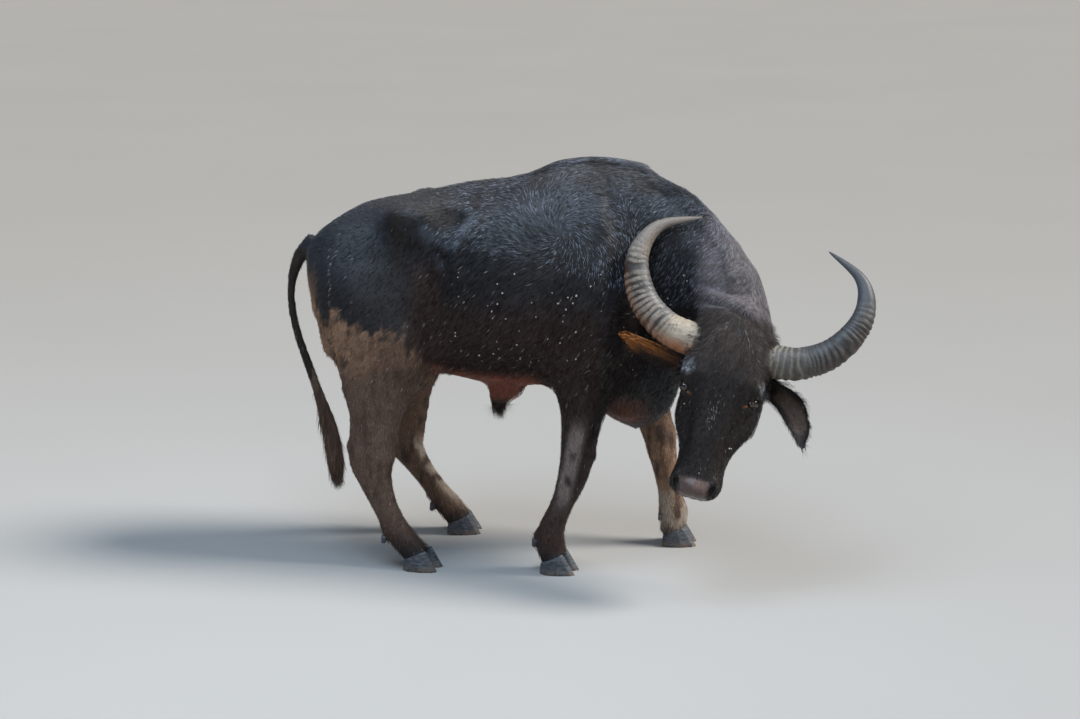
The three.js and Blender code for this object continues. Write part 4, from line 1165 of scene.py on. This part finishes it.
def scatter(weights, count):
    picked = rng.choice(len(triangles), count, p=weights / weights.sum())
    spread = rng.random((count, 2))
    flip = spread.sum(1) > 1
    spread[flip] = 1 - spread[flip]
    share = np.stack([1 - spread.sum(1), spread[:, 0], spread[:, 1]], 1)
    roots = np.sum(corners[picked] * share[:, :, None], axis=1)
    ups = unit(np.sum(skinNormals[triangles[picked]] * share[:, :, None], axis=1))
    places = np.sum(triangleUvs[picked] * share[:, :, None], axis=1)
    return roots, ups, places


def glintChance(roots):
    # where the sky catches single hairs: the upper flank before the hook, the shoulder and the neck
    x, y, z = toBody(roots).T
    start = np.interp(z, [1080, 1215], [-270, -338])
    flank = ramp(x - start, 0, 30) * ramp(z, 1020, 1150)
    shoulder = ramp(x, 180, 300) * ramp(z, 900, 1060)
    chance = 0.015 + 0.34 * np.maximum(flank, shoulder)
    chance = chance * ramp(oval(x, z, hollowSpots["bare"]), 0.8, 1.4)
    chance = chance * ramp(grain(roots, 0.07, 12), 0.15, 0.6)
    along, side, out = toHead(roots).T
    bridge, brow = (oval(along, side, coats[spot]) < 1 for spot in ("bridge", "brow"))
    return np.where(along > -20, 0.012 + 0.26 * bridge + 0.1 * brow, chance)


def growCoat():
    thick = coatSize(middles, faceNormals)[3]
    roots, ups, places = scatter(areas * thick, coats["tufts"])
    onFace = (toHead(roots)[:, 0] > -20) & (toBody(roots)[:, 1] < headZone["near"])
    order = np.lexsort((roots[:, 0], onFace))
    roots, ups, places, onFace = roots[order], ups[order], places[order], onFace[order]
    length, width, rise, _ = coatSize(roots, ups)
    vary = rng.uniform(0.65, 1.25, len(roots))
    spread = np.where(onFace, 0.9, 0.5)
    colours = markingsAndLight(roots, ups) * (1 + spread * rng.uniform(-0.8, 1.2, len(roots)))[:, None]
    # painted glints: some tufts are made paler, white on the face and blue on the body
    glint = rng.random(len(roots)) < glintChance(roots)
    glintTone = np.where(onFace[glint, None], coats["faceGlint"], coats["glint"])
    colours[glint] += glintTone * rng.uniform(0.3, 1.0, (glint.sum(), 1))
    for path in scratches:
        scored = reachOf(toBody(roots), path)[0] < coats["scratchWidth"]
        colours[scored] = np.array(coats["scratch"]) * rng.uniform(0.5, 1.0, (scored.sum(), 1))
    tufts = {"roots": roots, "ups": ups, "ways": lieOfCoat(roots, ups), "places": places, "colour": colours,
             "length": length * vary, "width": width, "rise": rise, "dull": dullness(roots)}
    made = []
    for zone, chosen, material in (("body", ~onFace, coatFinish), ("face", onFace, faceFinish)):
        picked = np.flatnonzero(chosen)
        for i, start in enumerate(range(0, len(picked), coats["perPiece"])):
            part = picked[start:start + coats["perPiece"]]
            piece = {key: values[part] for key, values in tufts.items()}
            made.append(tuftMesh(f"coat_{zone}_{i + 1}", piece, material))
    return made


coatPieces = growCoat()
print("coat grown", sum(len(piece.data.polygons) for piece in coatPieces))

mount(skin, "hide", *fleshNodes)

# dried splashes of mud on the flank, throat and face
splashes = {"count": 190, "small": 1.5, "large": 3.4, "flat": 0.5, "stand": 0.0035}


def splashMaterial():
    look = Finish("dried splash")
    grit = look.noise(900, detail=2.0)
    colour = look.mix(grit, (0.30, 0.28, 0.25), (0.58, 0.56, 0.52))
    return look.finish(colour=colour, roughness=0.85, normal=look.bump(grit, 0.4, 0.0006))


def splashMud():
    x, y, z = oneSided(middles).T
    along, side, out = toHead(middles).T
    flank = ramp(z, 700, 780) * ramp(1150 - z, 0, 160) * ramp(x, -300, -200) * (x < 620)
    face = ramp(along, 60, 200) * ramp(out, -120, -60) * (along < 600) * (middles[:, 1] < -0.15)
    onEars = earMask(toHead(middles), "right") + earMask(toHead(middles), "left") > 0
    weights = areas * np.clip(flank + 0.3 * face, 0, 1) * (np.abs(faceNormals[:, 1]) > 0.3)
    roots, ups, _ = scatter(weights * ~onEars * (padMask(middles) < 0.1), splashes["count"])
    bpy.ops.object.select_all(action="DESELECT")
    bpy.ops.mesh.primitive_ico_sphere_add(subdivisions=2, radius=1)
    drop = bpy.context.object
    shape = pointsOf(drop)
    select(drop)
    for _ in range(splashes["count"] - 1):
        bpy.ops.object.duplicate()
    drops = [obj for obj in bpy.data.objects if obj.name.startswith(drop.name)]
    for obj, root, up in zip(drops, roots, ups):
        size = rng.uniform(splashes["small"], splashes["large"]) / 1000
        across = unit(np.cross(up, [0.3, 0.1, 1.0]))
        axes = np.stack([across, np.cross(up, across) * rng.uniform(0.8, 1.5), up * splashes["flat"]])
        setPoints(obj, root + up * splashes["stand"] + (shape * size) @ axes)
    select(*drops[1:], drops[0])
    bpy.ops.object.join()
    joined = bpy.context.object
    joined.name = "mud_splashes"
    with editing(joined):
        bpy.ops.mesh.normals_make_consistent(inside=False)
    smooth(joined)
    dress(joined, splashMaterial())
    mount(joined, "hide")


splashMud()
print("splashes dried on")

# horns: a grid rolled round the route that the solids follow, with growth ridges over its middle
hornRoute = [(106, 78, -64), (104, 150, -60), (88, 238, -54), (26, 330, -44), (-74, 388, -32),
             (-168, 392, -24), (-248, 344, -18), (-304, 222, -10)]
hornMake = {
    "radius": 60, "flat": 0.78, "swing": 1.5, "rings": 250, "sides": 32, "ridgeEvery": 21, "ridge": 3.2,
}
hornTones = {
    "right": {"band": 0.24, "base": (0.43, 0.37, 0.29), "edge": (0.40, 0.140, 0.045),
              "tip": (0.30, 0.255, 0.22), "valley": (0.030, 0.021, 0.017), "crest": (0.27, 0.225, 0.185),
              "inner": (0.125, 0.130, 0.140)},
    "left": {"band": 0.12, "base": (0.165, 0.142, 0.115), "edge": (0.10, 0.060, 0.035),
             "tip": (0.095, 0.105, 0.120), "valley": (0.026, 0.024, 0.024), "crest": (0.092, 0.087, 0.086),
             "inner": (0.070, 0.074, 0.082), "rings": (0.33, 0.30, 0.24)},
}


def curveThrough(route, places):
    route = np.asarray(route, dtype=float)
    index = np.minimum(places.astype(int), len(route) - 2)
    t = (places - index)[:, None]
    a, b, c = route[np.maximum(index - 1, 0)], route[index], route[index + 1]
    d = route[np.minimum(index + 2, len(route) - 1)]
    return b + 0.5 * t * (c - a + t * (2 * a - 5 * b + 4 * c - d + t * (3 * (b - c) + d - a)))


def closeUp(obj):
    # merges the seam, caps the open ends and turns the faces outwards
    with editing(obj):
        bpy.ops.mesh.remove_doubles(threshold=weld)
        bpy.ops.mesh.select_all(action="DESELECT")
        bpy.ops.mesh.select_mode(type="EDGE")
        bpy.ops.mesh.select_non_manifold()
        bpy.ops.mesh.fill_holes(sides=0)
        bpy.ops.mesh.select_all(action="SELECT")
        bpy.ops.mesh.normals_make_consistent(inside=False)
    smooth(obj)


def makeHorn(name, sign):
    tone = hornTones[name]
    bpy.ops.object.select_all(action="DESELECT")
    rings, sides = hornMake["rings"], hornMake["sides"]
    bpy.ops.mesh.primitive_grid_add(x_subdivisions=rings, y_subdivisions=sides, size=2)
    horn = bpy.context.object
    horn.name = f"horn_{name}_keratin"
    flat = pointsOf(horn)
    t = (flat[:, 0] + 1) / 2
    angle = (flat[:, 1] + 1) * np.pi

    def along(places):
        return curveThrough(hornRoute, np.clip(places, 0, 1) * (len(hornRoute) - 1))

    def onHorn(stretch, girth):
        # places on the horn for a pattern that has no seam
        return columns(run / 1000 * stretch, girth * np.cos(angle), girth * np.sin(angle) + sign)

    station = along(t)
    ahead = along(t + 0.004) - along(t - 0.004)
    heading = np.arctan2(ahead[:, 1], ahead[:, 0])
    steps = np.linspace(0, 1, 400)
    lengths = np.cumsum(np.linalg.norm(np.diff(along(steps), axis=0), axis=1))
    run = np.interp(t, steps, np.concatenate([[0], lengths]))
    outward, front = -np.cos(angle), np.sin(angle)
    waver = grain(columns(run / 1000, 0, sign), 0.06, 7)
    warp = grain(onHorn(1, 0.045), 0.024, 8)
    phase = run / hornMake["ridgeEvery"] + 2.3 * waver + 0.6 * warp
    wave = 0.5 + 0.5 * np.cos(2 * np.pi * phase)
    crest = 1 - (1 - wave) ** 2.0
    depth = 0.3 + 1.3 * grain(onHorn(1, 0.045), 0.04, 11)
    middle = ramp(t, tone["band"] - 0.09, tone["band"] + 0.07) * (1 - ramp(t, 0.56, 0.76))
    around = 0.3 + 0.7 * ramp(outward * 0.7 + np.abs(front) * 0.5, -0.1, 0.8)
    rough = 1 - ramp(t, 0.6, 0.8)
    radius = hornMake["radius"] * (1 - 0.97 * t ** 2.2)
    radius = radius - hornMake["ridge"] * (1 - crest) * middle * around * depth
    radius = radius - 1.1 * ramp(grain(onHorn(1, 0.045), 0.011, 13), 0.45, 0.9) * rough * (0.4 + around)
    radius = radius - 0.8 * (1 - wave) * (1 - middle) * rough * (0.3 + warp)
    radius = np.maximum(radius, 0.6) * (1 - 0.6 * ramp(t, 0.992, 1))
    wide = radius * np.cos(angle)
    forward = station[:, 0] - wide * np.sin(heading)
    side = station[:, 1] + wide * np.cos(heading)
    out = station[:, 2] + radius * hornMake["flat"] * np.sin(angle)
    swing = math.radians(hornMake["swing"] * sign)
    swung = columns(forward * math.cos(swing) + side * math.sin(swing),
                    sign * (side * math.cos(swing) - forward * math.sin(swing)), out)
    setPoints(horn, fromHead(swung))

    streak = grain(onHorn(0.14, 0.055), 0.0045, 9)
    blotch = grain(swung / 1000, 0.03, 10)
    shade = mixed(tone["base"], np.array(tone["base"]) * 0.62, ramp(streak, 0.5, 0.85) * 0.8)
    uneven = 1.1 * (blotch - 0.5) + 0.5 * (streak - 0.5) - 0.3 * (depth - 0.9)
    ridged = mixed(tone["valley"], tone["crest"], ramp(crest + uneven, 0.35, 1.0))
    ridged = mixed(ridged, tone["inner"], ramp(-outward, 0.0, 0.7) * 0.75)
    onset = ramp(t, tone["band"] - 0.05 + 0.06 * blotch, tone["band"] + 0.08)
    shade = mixed(shade, ridged, onset * (1 - ramp(t, 0.58, 0.74)))
    rust = ramp(outward, 0.3, 0.9) * (1 - ramp(t, 0.5, 0.64)) * (0.6 + 0.4 * blotch)
    shade = mixed(shade, tone["edge"], rust * (0.35 + 0.65 * (1 - onset)))
    tip = mixed(tone["tip"], np.array(tone["tip"]) * 0.7, streak * 0.8)
    shade = mixed(shade, tip, ramp(t, 0.56, 0.74))
    if "rings" in tone:
        bands = (1 - crest) * (1 - ramp(t, 0.26, 0.36)) * ramp(t, 0.05, 0.09)
        shade = mixed(shade, tone["rings"], bands * 0.75 * (0.4 + 0.8 * blotch))
    shade = shade * (1 - 0.45 * ramp(-front, 0.1, 0.9))[:, None]
    addAttribute(horn, "shade", shade, "FLOAT_COLOR")
    place = horn.data.attributes.new("hornPlace", "FLOAT_VECTOR", "POINT")
    spot = columns(run / 1000, 0.06 * np.cos(angle), 0.06 * np.sin(angle))
    place.data.foreach_set("vector", spot.astype(np.float32).ravel())
    closeUp(horn)
    dress(horn, hornFinish)
    mount(horn, "horn", f"horn_{name}")


def hornMaterial():
    look = Finish("keratin")
    shade = look.attribute("shade", "Color")
    place = look.attribute("hornPlace", "Vector")
    fibre = look.noise(520.0, (0.1, 1, 1), roughness=0.5, place=place)
    lines = look.noise(330.0, (1, 0.12, 0.12), detail=4.0, roughness=0.5, place=place)
    dim = look.mix(1.0, shade, (0.62, 0.6, 0.58), "MULTIPLY")
    flaked = look.mix(look.range(fibre, 0.35, 0.7), dim, shade)
    dark = look.mix(1.0, shade, (0.4, 0.36, 0.33), "MULTIPLY")
    colour = look.mix(look.range(lines, 0.60, 0.72) * 0.5, flaked, dark)
    banded = look.mapped((1, 0.3, 0.3), place=place)
    patches = look.node("ShaderNodeTexNoise", {}, {"Vector": place, "Scale": 26.0, "Detail": 2.0}, "Fac")
    split = look.cells(85.0, banded)
    crack = look.range(split, 0.07, 0.0) * look.range(patches, 0.50, 0.58)
    colour = look.mix(crack * 0.85, colour, (0.022, 0.016, 0.013))
    normal = look.bump(fibre * 0.5 + lines * 0.5 - crack * 1.2, 0.4, 0.0014)
    return look.finish(colour=colour, roughness=look.range(fibre, 0.3, 0.7, 0.38, 0.58), normal=normal)


hornFinish = hornMaterial()
for name, sign in (("right", -1), ("left", 1)):
    makeHorn(name, sign)
print("horns made")


# claws and dewclaws: the solids rounded off, with flat soles
clawMake = {"voxel": 0.0032, "rounds": 5, "swell": 0.3}


def clawMaterial():
    look = Finish("claw")
    height = look.node("ShaderNodeSeparateXYZ", {}, [look.position], "Z")
    mud = look.noise(60, detail=4.0)
    rings = look.noise(420, (0.12, 0.12, 1), (0, math.radians(6), 0), 2.0)
    grit = look.noise(300)
    dark = look.mix(look.range(rings, 0.4, 0.66), (0.034, 0.040, 0.050), (0.105, 0.120, 0.145))
    worn = look.mix(look.range(height, 0.030, 0.0) * look.range(mud, 0.35, 0.6), dark, (0.17, 0.125, 0.09))
    colour = look.mix(look.range(mud, 0.60, 0.72) * 0.6, worn, (0.14, 0.10, 0.075))
    normal = look.bump(rings * 0.7 + grit * 0.3, 0.5, 0.0016)
    return look.finish(colour=colour, roughness=look.range(grit, 0.3, 0.7, 0.32, 0.55), normal=normal)


clawFinish = clawMaterial()
for node in hoofNodes + dewclawNodes:
    claw = copyOf([node], f"{node}_horn")
    applyModifier(claw, "REMESH", mode="VOXEL", voxel_size=clawMake["voxel"])
    shaped = relax(pointsOf(claw), edgesOf(claw), 1, clawMake["rounds"], clawMake["swell"])
    shaped[:, 2] = np.where(shaped[:, 2] < clawMake["voxel"], 0.0, shaped[:, 2])
    setPoints(claw, shaped)
    smooth(claw)
    dress(claw, clawFinish)
    mount(claw, "hoof", node)
print("claws made")


# eyes: a wet ball with a raised cornea, brown iris and wide pupil
eyeMake = {"segments": 64, "rings": 40, "gap": 0.3, "iris": 0.78, "cornea": 1.6, "pupil": (0.34, 0.17)}
eyeTones = {"white": (0.055, 0.034, 0.026), "iris": (0.030, 0.012, 0.006), "pupil": (0.001, 0.001, 0.001),
            "limbus": (0.006, 0.003, 0.002)}


def eyeMaterial():
    look = Finish("eyeball")
    shade = look.attribute("shade", "Color")
    ray = look.noise(260)
    dim = look.mix(1.0, shade, (0.6, 0.6, 0.6), "MULTIPLY")
    colour = look.mix(look.range(ray, 0.3, 0.7), dim, shade)
    return look.finish(colour=colour, roughness=0.05, coat=1.0, coatRoughness=0.02, ior=1.4)


eyeFinish = eyeMaterial()
for name, eye in eyes.items():
    bpy.ops.object.select_all(action="DESELECT")
    bpy.ops.mesh.primitive_uv_sphere_add(segments=eyeMake["segments"], ring_count=eyeMake["rings"], radius=1)
    ball = bpy.context.object
    ball.name = f"eyeball_{name}"
    unitBall = pointsOf(ball)
    u, v, w = unitBall.T
    fromAxis = np.hypot(u, v)
    cornea = eyeMake["cornea"] * (w > 0) * (1 - ramp(fromAxis, 0.1, eyeMake["iris"]))
    size = (eyePlace["radius"] - eyeMake["gap"]) + cornea
    turned = np.outer(u, eye["long"]) + np.outer(v, eye["up"]) + np.outer(w, eye["ahead"])
    setPoints(ball, fromHead(turned * size[:, None] + eye["centre"]))
    ring = ramp(fromAxis, eyeMake["iris"] - 0.04, eyeMake["iris"] + 0.04)
    shade = mixed(eyeTones["iris"], eyeTones["white"], ring)
    shade = mixed(shade, eyeTones["limbus"], np.exp(-((fromAxis - eyeMake["iris"]) / 0.07) ** 2))
    slot = 1 - ramp(np.hypot(u / eyeMake["pupil"][0], v / eyeMake["pupil"][1]), 0.85, 1.1)
    shade = np.where(w[:, None] > 0, mixed(shade, eyeTones["pupil"], slot), eyeTones["white"])
    addAttribute(ball, "shade", shade, "FLOAT_COLOR")
    closeUp(ball)
    dress(ball, eyeFinish)
    mount(ball, "eye", f"eye_{name}")
print("eyes made")


def floorMaterial():
    look = Finish("studio floor")
    patch = look.noise(0.6)
    return look.finish(colour=look.mix(patch, (0.37, 0.37, 0.365), (0.40, 0.40, 0.395)), roughness=0.9)


dress(floor, floorMaterial())
